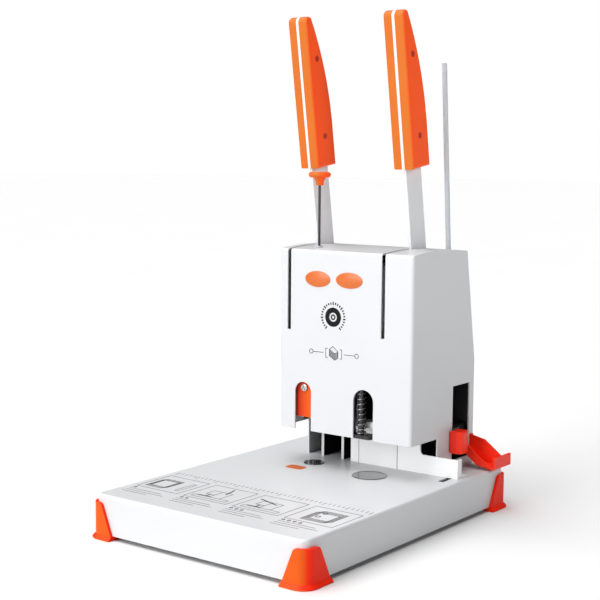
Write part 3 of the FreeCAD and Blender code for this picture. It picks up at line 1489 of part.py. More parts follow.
def chute_tray():
    body = new_body("chute_tray")
    wall, start, end = s.chute_wall, s.cover_right, s.chute_end_x
    floor = [(start, base_top + s.chute_floor_rise), (start + s.chute_knee, base_top + s.chute_knee_rise),
             (end, base_top + s.chute_end_rise)]
    above = [(x, z + wall) for x, z in reversed(floor)]
    run = outline(body, "XZ_Plane", floor + above, -s.chute_front_y)
    pad(body, run, s.chute_back_y - s.chute_front_y, reverse=True)
    back = floor + [
        (end, base_top + s.chute_end_rise + s.lip_height),
        (start + s.chute_back_run, base_top + s.chute_back_knee_rise), (start, base_top + s.chute_back_rise),
    ]
    pad(body, outline(body, "XZ_Plane", back, -s.chute_back_y + wall), wall, reverse=True)
    front = floor + [
        (end, base_top + s.chute_end_rise + wall),
        (start + s.chute_front_run, base_top + s.chute_front_knee_rise),
        (start, base_top + s.chute_front_rise),
    ]
    pad(body, outline(body, "XZ_Plane", front, -s.chute_front_y), wall, reverse=True)
    lip_low = base_top + s.chute_end_rise
    lip = box_outline(body, "YZ_Plane", (s.lip_front_y, lip_low),
                      (s.lip_back_y, lip_low + s.lip_height), end - wall)
    pad(body, lip, wall)
    flange = box_outline(body, "YZ_Plane", (s.chute_back_y - wall, base_top + s.chute_floor_rise),
                         (s.chute_back_y + s.chute_flange, base_top + s.chute_back_rise), start)
    pad(body, flange, wall)


def clearing_rod():
    top = base_top + s.pin_top_rise
    under = top - s.pin_head_height
    neck = under - s.pin_neck_height
    rim = s.pin_head_height / 2
    turned("clearing_rod_head", -s.pin_x, s.pin_y, [
        (0, neck), (s.pin_neck_radius, neck), (s.pin_neck_radius, under - s.pin_flare_height),
        (s.pin_flare_radius, under), (s.pin_head_radius - rim, under),
        (s.pin_head_radius - rim, top), (0, top),
    ], arcs={4: rim})
    low = cover_top - s.pin_depth
    nodes["clearing_rod"] = cylinder("clearing_rod", s.pin_radius, neck - low, -s.pin_x, s.pin_y, low)
    bore = s.pin_radius + s.screw_gap
    seat = crown_at(s.pin_y) + s.socket_tilt
    turned("rod_socket", -s.pin_x, s.pin_y, [
        (0, seat - s.socket_length), (s.socket_radius, seat - s.socket_length), (s.socket_radius, seat),
        (s.socket_flange, seat), (s.socket_flange, seat + s.socket_flange_height),
        (bore, seat + s.socket_flange_height), (bore, low - s.contact_gap), (0, low - s.contact_gap),
    ])


def build():
    base_shell()
    bottom_plate()
    for corner, (across, along) in corner_signs.items():
        corner_foot(corner, across, along)
    foot_screws()
    frame_plates()
    pivot_shaft()
    inner_left = -s.lever_x + s.bar_thickness / 2
    web_left = left_outer_x + s.plate_sheet + s.gear_side_gap
    sector_gear("left_sector_gear", web_left, inner_left, left_inner_x - s.slide_gap - inner_left)
    inner_right = s.lever_x - s.bar_thickness / 2
    web_right = right_outer_x - s.gear_side_gap / 2 - s.gear_width
    hub_right = web_right - s.gear_side_gap
    sector_gear("right_sector_gear", web_right, hub_right, inner_right - hub_right)
    lever("left", -1)
    lever("right", 1)
    rod_guides()
    rivet_ram()
    rivet_tool()
    heat_shroud()
    drill_carriage()
    drill_drive()
    press_foot()
    press_spring()
    drill_pad()
    paper_stops()
    housing_cover()
    rear_panel()
    power_inlet()
    power_switch()
    tube_gauge()
    chute_tray()
    clearing_rod()
    doc.recompute()


def check_and_write():
    for thing in doc.Objects:
        if "Invalid" in thing.State or "Error" in thing.State:
            raise RuntimeError(f"{thing.Label} failed: {thing.State}")
    for name, thing in nodes.items():
        thing.Label = name
        if thing.Shape.isNull() or not thing.Shape.isValid():
            raise RuntimeError(f"{name} has no valid shape")
    for name, thing in nodes.items():
        thing.Shape.exportStep(f"parts/{name}.step")
    print(len(nodes), "pieces written")


build()
check_and_write()
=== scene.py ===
import math
import bmesh
import bpy
from mathutils import Matrix, Vector


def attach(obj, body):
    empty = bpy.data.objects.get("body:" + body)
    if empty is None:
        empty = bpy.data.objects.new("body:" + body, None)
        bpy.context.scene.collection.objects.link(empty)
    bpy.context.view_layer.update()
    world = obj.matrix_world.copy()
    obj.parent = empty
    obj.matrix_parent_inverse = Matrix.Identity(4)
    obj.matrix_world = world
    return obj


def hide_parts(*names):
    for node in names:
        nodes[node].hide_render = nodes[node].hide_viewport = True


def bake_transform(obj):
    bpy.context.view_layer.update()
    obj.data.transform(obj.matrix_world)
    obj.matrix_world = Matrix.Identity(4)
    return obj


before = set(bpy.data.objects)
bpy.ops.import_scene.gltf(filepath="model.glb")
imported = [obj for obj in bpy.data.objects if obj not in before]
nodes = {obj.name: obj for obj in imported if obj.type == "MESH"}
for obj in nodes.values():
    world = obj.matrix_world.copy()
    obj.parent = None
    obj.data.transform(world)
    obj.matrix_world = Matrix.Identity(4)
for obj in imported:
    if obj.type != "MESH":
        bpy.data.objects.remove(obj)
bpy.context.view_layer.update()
mm = 0.001  # pieces are given in mm
print("frame loaded:", len(nodes), "pieces")


class Wire:  # one shader socket, so sums can be written as Python
    def __init__(self, tree, socket=None):
        self.tree = tree
        self.socket = socket

    def node(self, kind, settings=None, sockets=None, out=0):
        made = self.tree.nodes.new("ShaderNode" + kind)
        for name, value in (settings or {}).items():
            setattr(made, name, value)
        feed(made, sockets or {})
        return Wire(self.tree, made.outputs[out])

    def math(self, operation, first, second):
        return self.node("Math", {"operation": operation}, {0: first, 1: second})

    def __add__(self, other): return self.math("ADD", self, other)
    def __radd__(self, other): return self.math("ADD", other, self)
    def __sub__(self, other): return self.math("SUBTRACT", self, other)
    def __rsub__(self, other): return self.math("SUBTRACT", other, self)
    def __mul__(self, other): return self.math("MULTIPLY", self, other)
    def __rmul__(self, other): return self.math("MULTIPLY", other, self)


def feed(shader, sockets):  # link what is a wire, set what is a plain value
    for name, value in sockets.items():
        if isinstance(value, Wire):
            value.tree.links.new(value.socket, shader.inputs[name])
        else:
            shader.inputs[name].default_value = value


def newFinish(name):
    material = bpy.data.materials.new(name)
    material.use_nodes = True
    wire = Wire(material.node_tree)
    shader = material.node_tree.nodes["Principled BSDF"]
    return material, wire, shader, wire.node("TexCoord", out="Object")


def noise(wire, where, scale, detail=2.0, rough=0.5):
    sockets = {"Vector": where, "Scale": scale, "Detail": detail, "Roughness": rough}
    return wire.node("TexNoise", {}, sockets, "Fac")


def swing(pattern, amount):  # a pattern of 0 to 1 as half of amount up or down
    return amount * (pattern - 0.5)


def stretched(wire, where, scale):  # a small scale draws the pattern out that way
    return wire.node("Mapping", {}, {"Vector": where, "Scale": scale})


def mixColours(wire, share, first, second):  # each end is a wire or a plain colour
    first, second = (end if isinstance(end, Wire) else (*end, 1) for end in (first, second))
    return wire.node("Mix", {"data_type": "RGBA"}, {0: share, 6: first, 7: second}, 2)


def oneAxis(wire, vector, axis):
    return wire.node("SeparateXYZ", {}, {"Vector": vector}, axis)


def ramp(wire, value, start, end):  # 0 at start, 1 at end
    return wire.node("MapRange", {}, {"Value": value, "From Min": start, "From Max": end})


frontMask = {"start": -0.6, "full": -0.8}  # how far a face looks towards -Y


def facesFront(wire):  # 1 on faces that look towards -Y
    looking = oneAxis(wire, wire.node("TexCoord", out="Normal"), "Y")
    return ramp(wire, looking, frontMask["start"], frontMask["full"])


def raised(wire, height, strength, depth):
    sockets = {"Height": height, "Strength": strength, "Distance": depth}
    return wire.node("Bump", {}, sockets, "Normal")


def paintedFinish(name, look):  # powder coat: faint cloud, fine peel, a sparkle in the gloss
    material, wire, shader, where = newFinish(name)
    cloud = noise(wire, where, look["cloud"], detail=3.0)
    peel = noise(wire, where, look["peel"], rough=0.4)
    speck = noise(wire, where, look["peel"] * 5, detail=1.0)
    coat = mixColours(wire, cloud, look["dark"], look["light"])
    if "inner" in look:  # the side turned into the housing is painted near-black, as painted shade
        coat = mixColours(wire, facesFront(wire), coat, mixColours(wire, cloud, *look["inner"]))
    feed(shader, {
        "Base Color": coat,
        "Roughness": look["rough"] + swing(peel, 0.1) + swing(speck, 0.06),
        "Normal": raised(wire, peel + 0.25 * speck, look["bump"], 0.2 * mm),
        "Coat Weight": look["coat"],
        "Coat Roughness": 0.25,
    })
    return material


def mouldedFinish(name, look):  # moulded plastic: fine spark texture and a slow drift of tone
    material, wire, shader, where = newFinish(name)
    grain = noise(wire, where, look["grain"], rough=0.6)
    drift = noise(wire, where, look["drift"])
    flow = noise(wire, stretched(wire, where, (1, 1, 0.2)), look["drift"] * 6)
    colour = mixColours(wire, 0.7 * drift + 0.3 * flow, look["dark"], look["light"])
    if "litSideColour" in look:  # painted shade: darker on the -X side, fading to the lighter lit colour towards +X
        place = oneAxis(wire, where, "X") + look["shadeFadeWander"] * drift
        across = ramp(wire, place, look["shadeFadeFrom"], look["shadeFadeTo"])
        colour = mixColours(wire, across, colour, mixColours(wire, drift, *look["litSideColour"]))
    if "front" in look:  # front-facing faces are painted yellower and lighter, as painted light from the front
        front = facesFront(wire)
        colour = mixColours(wire, front, colour, mixColours(wire, drift, *look["front"]))
    feed(shader, {
        "Base Color": colour,
        "Roughness": look["rough"] + swing(grain, 0.16) + swing(drift, 0.1),
        "Normal": raised(wire, grain, look["bump"], 0.2 * mm),
        "IOR": 1.48,
        "Specular IOR Level": look["shine"],
    })
    return material


metalGrain = {"streak": (900.0, 3.0, 0.6), "stain": (60.0, 4.0, 0.65)}  # scale, detail, roughness


def steelFinish(name, look):  # drawn, ground or plated metal, streaked along one direction
    material, wire, shader, where = newFinish(name)
    streak = noise(wire, stretched(wire, where, look["streak"]), *metalGrain["streak"])
    stain = noise(wire, where, *metalGrain["stain"])
    feed(shader, {
        "Base Color": mixColours(wire, 0.5 * streak + 0.5 * stain, look["dark"], look["light"]),
        "Roughness": look["rough"] + swing(streak, 0.2) + swing(stain, 0.15),
        "Normal": raised(wire, streak, 0.15, 0.1 * mm),
        "Metallic": look["metal"],
    })
    return material


def cheekFinish(name, look):  # frame plates: near-black sides, with the front-facing edges painted bright as painted light
    material, wire, shader, where = newFinish(name)
    stain = noise(wire, where, *metalGrain["stain"])
    mill = noise(wire, stretched(wire, where, (1, 1, 0.05)), *metalGrain["streak"])
    black = mixColours(wire, stain, look["dark"], look["light"])
    paintedLitEdge = mixColours(wire, mill, look["litEdgeDark"], look["litEdgeLight"])
    feed(shader, {
        "Base Color": mixColours(wire, facesFront(wire), black, paintedLitEdge),
        "Roughness": look["rough"] + swing(stain, 0.15) + swing(mill, 0.1),
        "Normal": raised(wire, 0.5 * stain + 0.5 * mill, 0.15, 0.1 * mm),
        "Specular IOR Level": look["shine"],
    })
    return material


def turnedFinish(name, look):  # faced on a lathe: rings about an upright axis
    material, wire, shader, where = newFinish(name)
    middle = {"Vector": where, "Location": (-look["x"], -look["y"], 0)}
    centred = wire.node("Mapping", {}, middle)
    cuts = {"Vector": centred, "Scale": look["rings"], "Distortion": 0.4, "Detail": 2.0}
    rings = wire.node("TexWave", {"wave_type": "RINGS", "rings_direction": "Z"}, cuts, "Fac")
    stain = noise(wire, where, 140.0, detail=4.0, rough=0.6)
    feed(shader, {
        "Base Color": mixColours(wire, 0.55 * rings + 0.45 * stain, look["dark"], look["light"]),
        "Roughness": look["rough"] + swing(rings, 0.25) + swing(stain, 0.2),
        "Normal": raised(wire, rings, look["cut"], 0.1 * mm),
        "Metallic": look["metal"],
        "Coat Weight": look["coat"],
        "Coat Roughness": 0.06,
    })
    return material


def nylonFinish(name, look):  # milky drawn tube
    material, wire, shader, where = newFinish(name)
    draw = noise(wire, stretched(wire, where, (1, 1, 0.03)), look["draw"])
    haze = noise(wire, where, look["haze"])
    feed(shader, {
        "Base Color": mixColours(wire, 0.5 * draw + 0.5 * haze, look["dark"], look["light"]),
        "Roughness": look["rough"] + swing(draw, 0.2),
        "Transmission Weight": look["clear"],
        "IOR": 1.5,
    })
    return material


def beltFinish(name, look):  # ribbed rubber
    material, wire, shader, where = newFinish(name)
    ribs = {"Vector": where, "Scale": look["ribs"], "Distortion": 0.2}
    rib = wire.node("TexWave", {"bands_direction": "Z"}, ribs, "Fac")
    dust = noise(wire, where, look["dust"], detail=3.0)
    feed(shader, {
        "Base Color": mixColours(wire, dust, look["dark"], look["light"]),
        "Roughness": look["rough"] + swing(dust, 0.2),
        "Normal": raised(wire, rib + 0.4 * dust, 0.5, 0.3 * mm),
    })
    return material


enamelLook = {"dark": (0.575, 0.585, 0.60), "light": (0.61, 0.62, 0.635), "cloud": 9.0,
              "peel": 700.0, "rough": 0.36, "bump": 0.12, "coat": 0.15}
# the base wears a lighter copy of the white coat, as painted light
baseLitLook = dict(enamelLook, dark=(0.61, 0.62, 0.635), light=(0.645, 0.655, 0.67))
# rear panel: its inner side is painted near-black as painted shade
panelShadedInsideLook = dict(enamelLook, inner=((0.006, 0.006, 0.006), (0.012, 0.012, 0.012)))
# a lighter copy of the white paint: painted light on the white parts in the housing's shade
stopLitLook = {"dark": (0.87, 0.875, 0.88), "light": (0.9, 0.905, 0.91), "cloud": 18.0,
            "peel": 800.0, "rough": 0.38, "bump": 0.1, "coat": 0.1}
barLook = {"dark": (0.66, 0.675, 0.69), "light": (0.71, 0.72, 0.735), "cloud": 14.0,
           "peel": 800.0, "rough": 0.34, "bump": 0.1, "coat": 0.15}

# grip orange; the front colour is painted light: front faces painted yellower and lighter, as lit
gripFrontLitLook = {"dark": (0.9, 0.082, 0.007), "light": (0.95, 0.1, 0.01), "grain": 1600.0,
            "drift": 18.0, "rough": 0.42, "bump": 0.16, "shine": 0.22,
            "front": ((0.58, 0.13, 0.01), (0.62, 0.15, 0.014))}
rearFootLook = {"dark": (0.93, 0.02, 0.003), "light": (0.97, 0.03, 0.005), "grain": 1300.0,
                "drift": 22.0, "rough": 0.46, "bump": 0.2, "shine": 0.14}
# front feet: the front colour is painted light, front faces painted yellower and lighter, as lit
footFrontLitLook = dict(rearFootLook, front=((0.66, 0.08, 0.003), (0.71, 0.1, 0.005)))
trayLook = {"dark": (0.95, 0.026, 0.008), "light": (0.98, 0.036, 0.011), "grain": 1400.0,
            "drift": 25.0, "rough": 0.36, "bump": 0.12, "shine": 0.3}
# shroud orange darkened as painted shade for the arch it sits in; the lit side colour fades in
# across X
shroudShadeLook = {"dark": (0.38, 0.012, 0.005), "light": (0.45, 0.018, 0.007), "grain": 1500.0,
              "drift": 30.0, "rough": 0.45, "bump": 0.14, "shine": 0.12,
              "litSideColour": ((0.82, 0.1, 0.008), (0.88, 0.12, 0.01)),
              "shadeFadeFrom": -47 * mm, "shadeFadeTo": -30 * mm, "shadeFadeWander": 2 * mm}
blackLook = {"dark": (0.012, 0.012, 0.013), "light": (0.03, 0.03, 0.032), "grain": 1500.0,
             "drift": 40.0, "rough": 0.45, "bump": 0.3, "shine": 0.4}

steelLook = {"dark": (0.34, 0.34, 0.35), "light": (0.62, 0.62, 0.63), "streak": (1, 1, 0.05),
             "rough": 0.34, "metal": 1.0}
plateLook = {"dark": (0.42, 0.42, 0.43), "light": (0.6, 0.6, 0.6), "streak": (1, 0.05, 1),
             "rough": 0.42, "metal": 1.0}
rodLook = {"dark": (0.035, 0.035, 0.038), "light": (0.12, 0.12, 0.125), "streak": (1, 1, 0.04),
           "rough": 0.3, "metal": 1.0}
springLook = {"dark": (0.16, 0.155, 0.15), "light": (0.42, 0.41, 0.4), "streak": (1, 1, 1),
              "rough": 0.28, "metal": 1.0}
millLook = {"dark": (0.5, 0.51, 0.52), "light": (0.72, 0.73, 0.74), "streak": (0.06, 1, 1),
            "rough": 0.38, "metal": 1.0}
pressLook = {"dark": (0.015, 0.015, 0.016), "light": (0.05, 0.05, 0.052), "streak": (0.06, 1, 1),
             "rough": 0.4, "metal": 0.6}
screwLook = {"dark": (0.4, 0.012, 0.006), "light": (0.52, 0.02, 0.01), "streak": (1, 1, 1),
             "rough": 0.55, "metal": 0.2}
# the edge colours are painted light on the plates' front-facing edges
cheekLook = {"dark": (0.004, 0.004, 0.004), "light": (0.012, 0.012, 0.012),
             "litEdgeDark": (0.62, 0.62, 0.63), "litEdgeLight": (0.78, 0.78, 0.79),
             "rough": 0.55, "shine": 0.12}

brassLook = {"x": -35 * mm, "y": 55 * mm, "rings": 320.0, "dark": (0.48, 0.3, 0.08),
             "light": (0.75, 0.54, 0.2), "rough": 0.3, "metal": 1.0, "cut": 0.35, "coat": 0.0}
dieLook = {"x": -35 * mm, "y": 55 * mm, "rings": 240.0, "dark": (0.012, 0.012, 0.013),
           "light": (0.08, 0.08, 0.085), "rough": 0.24, "metal": 0.5, "cut": 0.35, "coat": 0.5}
padLook = {"x": 38.5 * mm, "y": 45.5 * mm, "rings": 180.0, "dark": (0.014, 0.0145, 0.016),
           "light": (0.09, 0.093, 0.1), "rough": 0.16, "metal": 0.5, "cut": 0.06, "coat": 0.6}
nylonLook = {"dark": (0.66, 0.70, 0.75), "light": (0.78, 0.81, 0.85), "rough": 0.3,
             "clear": 0.35, "draw": 1500.0, "haze": 35.0}
beltLook = {"dark": (0.012, 0.012, 0.012), "light": (0.03, 0.03, 0.03), "rough": 0.7,
            "ribs": 160.0, "dust": 300.0}

finishes = {
    "enamel": paintedFinish("white_powder_coat", enamelLook),
    "base": paintedFinish("base_powder_coat_lit", baseLitLook),
    "panel": paintedFinish("panel_powder_coat_shaded_inside", panelShadedInsideLook),
    "stop": paintedFinish("stop_plate_paint_lit", stopLitLook),
    "bar": paintedFinish("lever_paint", barLook),
    "grip": mouldedFinish("grip_orange", gripFrontLitLook),
    # the front feet's orange carries the painted front light
    "foot": mouldedFinish("foot_orange", footFrontLitLook),
    "rearFoot": mouldedFinish("rear_foot_orange", rearFootLook),
    "tray": mouldedFinish("tray_red_orange", trayLook),
    "shroud": mouldedFinish("shroud_orange_painted_shade", shroudShadeLook),
    "black": mouldedFinish("black_moulding", blackLook),
    "steel": steelFinish("ground_steel", steelLook),
    "plate": steelFinish("zinc_plate", plateLook),
    "rod": steelFinish("dark_rod_steel", rodLook),
    "spring": steelFinish("spring_wire", springLook),
    "mill": steelFinish("milled_aluminium", millLook),
    "press": steelFinish("blackened_steel", pressLook),
    "cheek": cheekFinish("press_cheek_lit_edges", cheekLook),
    "gripScrew": steelFinish("sunk_screw", screwLook),
    "brass": turnedFinish("turned_brass", brassLook),
    "die": turnedFinish("turned_black_die", dieLook),
    "pad": turnedFinish("turned_black_pad", padLook),
    "nylon": nylonFinish("milky_nylon", nylonLook),
    "belt": beltFinish("ribbed_belt", beltLook),
}
wears = {
    "enamel": ["housing_cover"],
    "base": ["base_shell"],
    "panel": ["rear_panel"],
    "stop": ["throat_plate", "short_paper_stop", "paper_fence", "rod_blocks"],
    "bar": ["left_lever_bar", "right_lever_bar"],
    "grip": ["left_grip_left_shell", "left_grip_right_shell", "right_grip_left_shell",
             "right_grip_right_shell", "clearing_rod_head"],
    "shroud": ["heat_shroud"],
    "foot": ["front_left_foot", "front_right_foot"],
    "rearFoot": ["rear_left_foot", "rear_right_foot"],
    "tray": ["chute_tray", "gauge_knob"],
    "black": ["tube_guide", "power_inlet", "switch_frame", "switch_rocker", "gauge_slide",
              "drill_motor"],
    "steel": ["frame_spacers", "pivot_shaft", "shaft_end_rings", "guide_rods",
              "left_sector_gear", "right_sector_gear", "rivet_ram", "shroud_screw"],
    "plate": ["bottom_plate", "motor_bracket", "foot_screws"],
    "rod": ["clearing_rod", "spindle", "hollow_drill", "press_foot_hangers", "gauge_rail"],
    "spring": ["press_spring"],
    "mill": ["drill_carriage", "motor_pulley", "heater_block"],
    "press": ["press_foot"],
    "cheek": ["inner_plates", "outer_plates"],
    "gripScrew": ["left_grip_screws", "right_grip_screws"],
    "brass": ["upper_rivet_die"],
    "die": ["lower_rivet_die"],
    "pad": ["drill_pad"],
    "nylon": ["nylon_tube", "rod_socket"],
    "belt": ["drive_belt"],
}
for finish, members in wears.items():
    for member in members:
        nodes[member].data.materials.clear()
        nodes[member].data.materials.append(finishes[finish])
print("finishes set:", len(finishes))


def deselect():
    if bpy.context.object and bpy.context.object.mode != "OBJECT":
        bpy.ops.object.mode_set(mode="OBJECT")
    bpy.ops.object.select_all(action="DESELECT")


def only(*pieces):  # select these and nothing else, the first one active
    deselect()
    for piece in pieces:
        piece.select_set(True)
    bpy.context.view_layer.objects.active = pieces[0]


def editing(piece):
    only(piece)
    bpy.ops.object.mode_set(mode="EDIT")


def pick(piece, kind, test):  # in edit mode: select the points, edges or faces that pass
    bpy.ops.mesh.select_mode(type=kind)
    bpy.ops.mesh.select_all(action="DESELECT")
    mesh = bmesh.from_edit_mesh(piece.data)
    for element in {"VERT": mesh.verts, "EDGE": mesh.edges, "FACE": mesh.faces}[kind]:
        element.select_set(test(element))
    bmesh.update_edit_mesh(piece.data)


def slab(height):  # in edit mode: pull a flat outline up
    bpy.ops.mesh.select_all(action="SELECT")
    bpy.ops.mesh.extrude_region_move(TRANSFORM_OT_translate={"value": (0, 0, height)})


def applyAll(*pieces):
    only(*pieces)
    bpy.ops.object.transform_apply(location=True, rotation=True, scale=True)


def settle(piece, placing):  # move a piece and keep its place in the mesh
    piece.matrix_world = placing
    applyAll(piece)


def copyOf(model):  # a copy with its own mesh
    copy = model.copy()
    copy.data = model.data.copy()
    bpy.context.collection.objects.link(copy)
    return copy


def useModifier(piece, kind, **settings):
    only(piece)
    modifier = piece.modifiers.new(kind.lower(), kind)
    for name, value in settings.items():
        setattr(modifier, name, value)
    bpy.ops.object.modifier_apply(modifier=modifier.name)


def carve(piece, cutters, operation="DIFFERENCE"):
    for cutter in cutters:
        useModifier(piece, "BOOLEAN", operation=operation, object=cutter, solver="EXACT")
    for cutter in cutters:
        bpy.data.objects.remove(cutter)


def tidyNormals(piece):
    editing(piece)
    bpy.ops.mesh.select_all(action="SELECT")
    bpy.ops.mesh.remove_doubles(threshold=0.001 * mm)
    bpy.ops.mesh.normals_make_consistent(inside=False)
    deselect()


def fuse(pieces):
    only(*pieces)
    if len(pieces) > 1:
        bpy.ops.object.join()
    return pieces[0]


def dress(piece, name, finish, smoothAngle=35):
    piece.name = name
    piece.data.name = name
    piece.data.materials.clear()
    piece.data.materials.append(finish)
    only(piece)
    bpy.ops.object.shade_smooth_by_angle(angle=math.radians(smoothAngle))


def hand(piece, name, finish, body):  # name a finished piece, dress it and let it ride
    dress(piece, name, finish)
    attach(piece, body)
    deselect()


ringSides = 56


def strokeTile():  # one stroke of print, one unit square, copied and stretched for every line
    deselect()
    bpy.ops.mesh.primitive_plane_add(size=1)
    tile = bpy.context.object
    editing(tile)
    slab(1)
    tidyNormals(tile)
    return tile


def flatRing(radius, hole, thick):  # washer of ink
    deselect()
    bpy.ops.mesh.primitive_circle_add(vertices=ringSides, radius=radius * mm, fill_type="NGON")
    ring = bpy.context.object
    editing(ring)
    bpy.ops.mesh.select_all(action="SELECT")
    bpy.ops.mesh.inset(thickness=(radius - hole) * mm, depth=0)
    pick(ring, "FACE", lambda face: len(face.verts) == ringSides)
    bpy.ops.mesh.delete(type="FACE")
    slab(thick * mm)
    tidyNormals(ring)
    return ring


def inkSheet(quads, rings, placing, thick):  # lay copies of the tile and join them with any rings
    tile = strokeTile()
    copies = []
    for (x, y), (long, wide), angle in quads:
        copy = copyOf(tile)
        size = Matrix.Diagonal((long * mm, wide * mm, thick * mm, 1))
        turn = Matrix.Rotation(angle, 4, "Z")
        copy.matrix_world = Matrix.Translation((x * mm, y * mm, 0)) @ turn @ size
        copies.append(copy)
    bpy.data.objects.remove(tile)
    for (x, y), radius, hole in rings:
        ring = flatRing(radius, hole, thick)
        ring.location = (x * mm, y * mm, 0)
        copies.append(ring)
    bpy.context.view_layer.update()
    applyAll(*copies)
    sheet = fuse(copies)
    settle(sheet, placing)
    return sheet


def stroke(start, end, wide):  # middle, length and width, angle
    (x1, y1), (x2, y2) = start, end
    size = (math.hypot(x2 - x1, y2 - y1) + wide, wide)
    return ((x1 + x2) / 2, (y1 + y2) / 2), size, math.atan2(y2 - y1, x2 - x1)


def path(points, wide):
    return [stroke(a, b, wide) for a, b in zip(points, points[1:])]


def boxStrokes(x, y, box, wide):  # a box given from a corner at x, y
    x1, y1, x2, y2 = x + box[0], y + box[1], x + box[2], y + box[3]
    return path([(x1, y1), (x2, y1), (x2, y2), (x1, y2), (x1, y1)], wide)


faceFront = Matrix.Rotation(math.radians(90), 4, "X")  # local x along X, local y up, facing -Y
faceBack = Matrix.Rotation(math.radians(-90), 4, "X")
faceY = 39.0  # front of the housing
baseTop = 40.5
faceInk = 0.12  # how thick the print lies


def onFace(x, z):
    return Matrix.Translation((x * mm, faceY * mm, z * mm)) @ faceFront


inkLook = {"dark": (0.003, 0.003, 0.003), "light": (0.009, 0.009, 0.0095), "grain": 2500.0,
           "drift": 60.0, "rough": 0.55, "bump": 0.2, "shine": 0.12}
softInkLook = dict(inkLook, dark=(0.03, 0.03, 0.032), light=(0.07, 0.07, 0.073))
badgeLook = {"dark": (0.56, 0.115, 0.014), "light": (0.61, 0.132, 0.018), "grain": 1800.0,
             "drift": 40.0, "rough": 0.3, "bump": 0.1, "shine": 0.5}
inkFinish = mouldedFinish("black_print", inkLook)
softInkFinish = mouldedFinish("grey_print", softInkLook)
badgeFinish = mouldedFinish("orange_badge", badgeLook)

faceBadges = {"thick": 0.5, "ease": 0.12, "sides": 64,
              "places": {"left_oval_pad": (-20.7, 228.0, 30.0, 15.6),  # x, z, width, height
                         "right_oval_pad": (16.6, 228.6, 31.0, 15.4)}}


def ovalPad(name, x, z, wide, high):  # blank oval pad with a softened rim
    deselect()
    bpy.ops.mesh.primitive_circle_add(vertices=faceBadges["sides"], radius=0.5, fill_type="NGON")
    pad = bpy.context.object
    pad.scale = (wide * mm, high * mm, 1)
    applyAll(pad)
    editing(pad)
    slab(faceBadges["thick"] * mm)
    useModifier(pad, "BEVEL", width=faceBadges["ease"] * mm, segments=2, limit_method="ANGLE")
    settle(pad, onFace(x, z))
    tidyNormals(pad)
    hand(pad, name, badgeFinish, "chassis")


for name, place in faceBadges["places"].items():
    ovalPad(name, *place)

dialMark = {"x": -2.0, "z": 192.0, "ticks": 24, "group": 4, "sweep": 285.0, "radius": 13.4,
            "long": 3.0, "short": 2.0, "wide": 1.3, "disc": 9.4, "hole": 4.4, "gap": 1.6,
            "dot": 1.4}


def dialScale():  # open scale of ticks, the first of each group longer, about a plain ring
    quads = []
    radius, hole = dialMark["radius"], dialMark["hole"]
    start = math.radians(-90 + (360 - dialMark["sweep"]) / 2)
    for i in range(dialMark["ticks"] + 1):
        angle = start + math.radians(dialMark["sweep"]) * i / dialMark["ticks"]
        long = dialMark["long"] if i % dialMark["group"] == 0 else dialMark["short"]
        middle = (radius * math.cos(angle), radius * math.sin(angle))
        quads.append((middle, (long, dialMark["wide"]), angle))
    rings = [((0, 0), dialMark["disc"], hole), ((0, 0), hole - dialMark["gap"], dialMark["dot"])]
    mark = inkSheet(quads, rings, onFace(dialMark["x"], dialMark["z"]), faceInk)
    hand(mark, "front_dial_scale", inkFinish, "chassis")


dialScale()

sheetSign = {"x": -0.5, "z": 158.0, "line": 0.55, "sheets": 7, "step": 1.05,
             "left": (-5.5, 2.2), "near": (0.8, -1.6), "right": (4.6, 0.6), "far": (-1.4, 5.4),
             "leftFoot": (-5.5, -4.1), "rightFoot": (4.6, -5.7),
             "bracket": {"x": 9.5, "shift": -0.4, "top": 3.0, "low": -6.0, "lip": 2},
             "pointer": {"y": -1.5, "from": 3, "to": 15, "ring": 17.5, "radius": 2.4, "hole": 1.8}}


def stackSign():  # a stack of sheets between two height brackets, drawn in line
    wide, left, right = sheetSign["line"], sheetSign["left"], sheetSign["right"]
    bracket, pointer = sheetSign["bracket"], sheetSign["pointer"]
    top, low, y = bracket["top"], bracket["low"], pointer["y"]
    quads, rings = [], []
    for i in range(sheetSign["sheets"]):
        drop = i * sheetSign["step"]
        quads += path([(x, z - drop) for x, z in (left, sheetSign["near"], right)], wide)
    quads += path([left, sheetSign["far"], right], wide)
    quads.append(stroke(left, sheetSign["leftFoot"], wide))
    quads.append(stroke(right, sheetSign["rightFoot"], wide))
    for side in (-1, 1):
        x = bracket["x"] * side + bracket["shift"]
        lip = x - bracket["lip"] * side
        quads += [stroke((x, top), (x, low), wide), stroke((lip, top), (x, top), wide),
                  stroke((lip, low), (x, low), wide)]
        quads.append(stroke((x + pointer["from"] * side, y), (x + pointer["to"] * side, y), wide))
        rings.append(((x + pointer["ring"] * side, y), pointer["radius"], pointer["hole"]))
    sign = inkSheet(quads, rings, onFace(sheetSign["x"], sheetSign["z"]), faceInk)
    hand(sign, "front_sheet_sign", softInkFinish, "chassis")


stackSign()

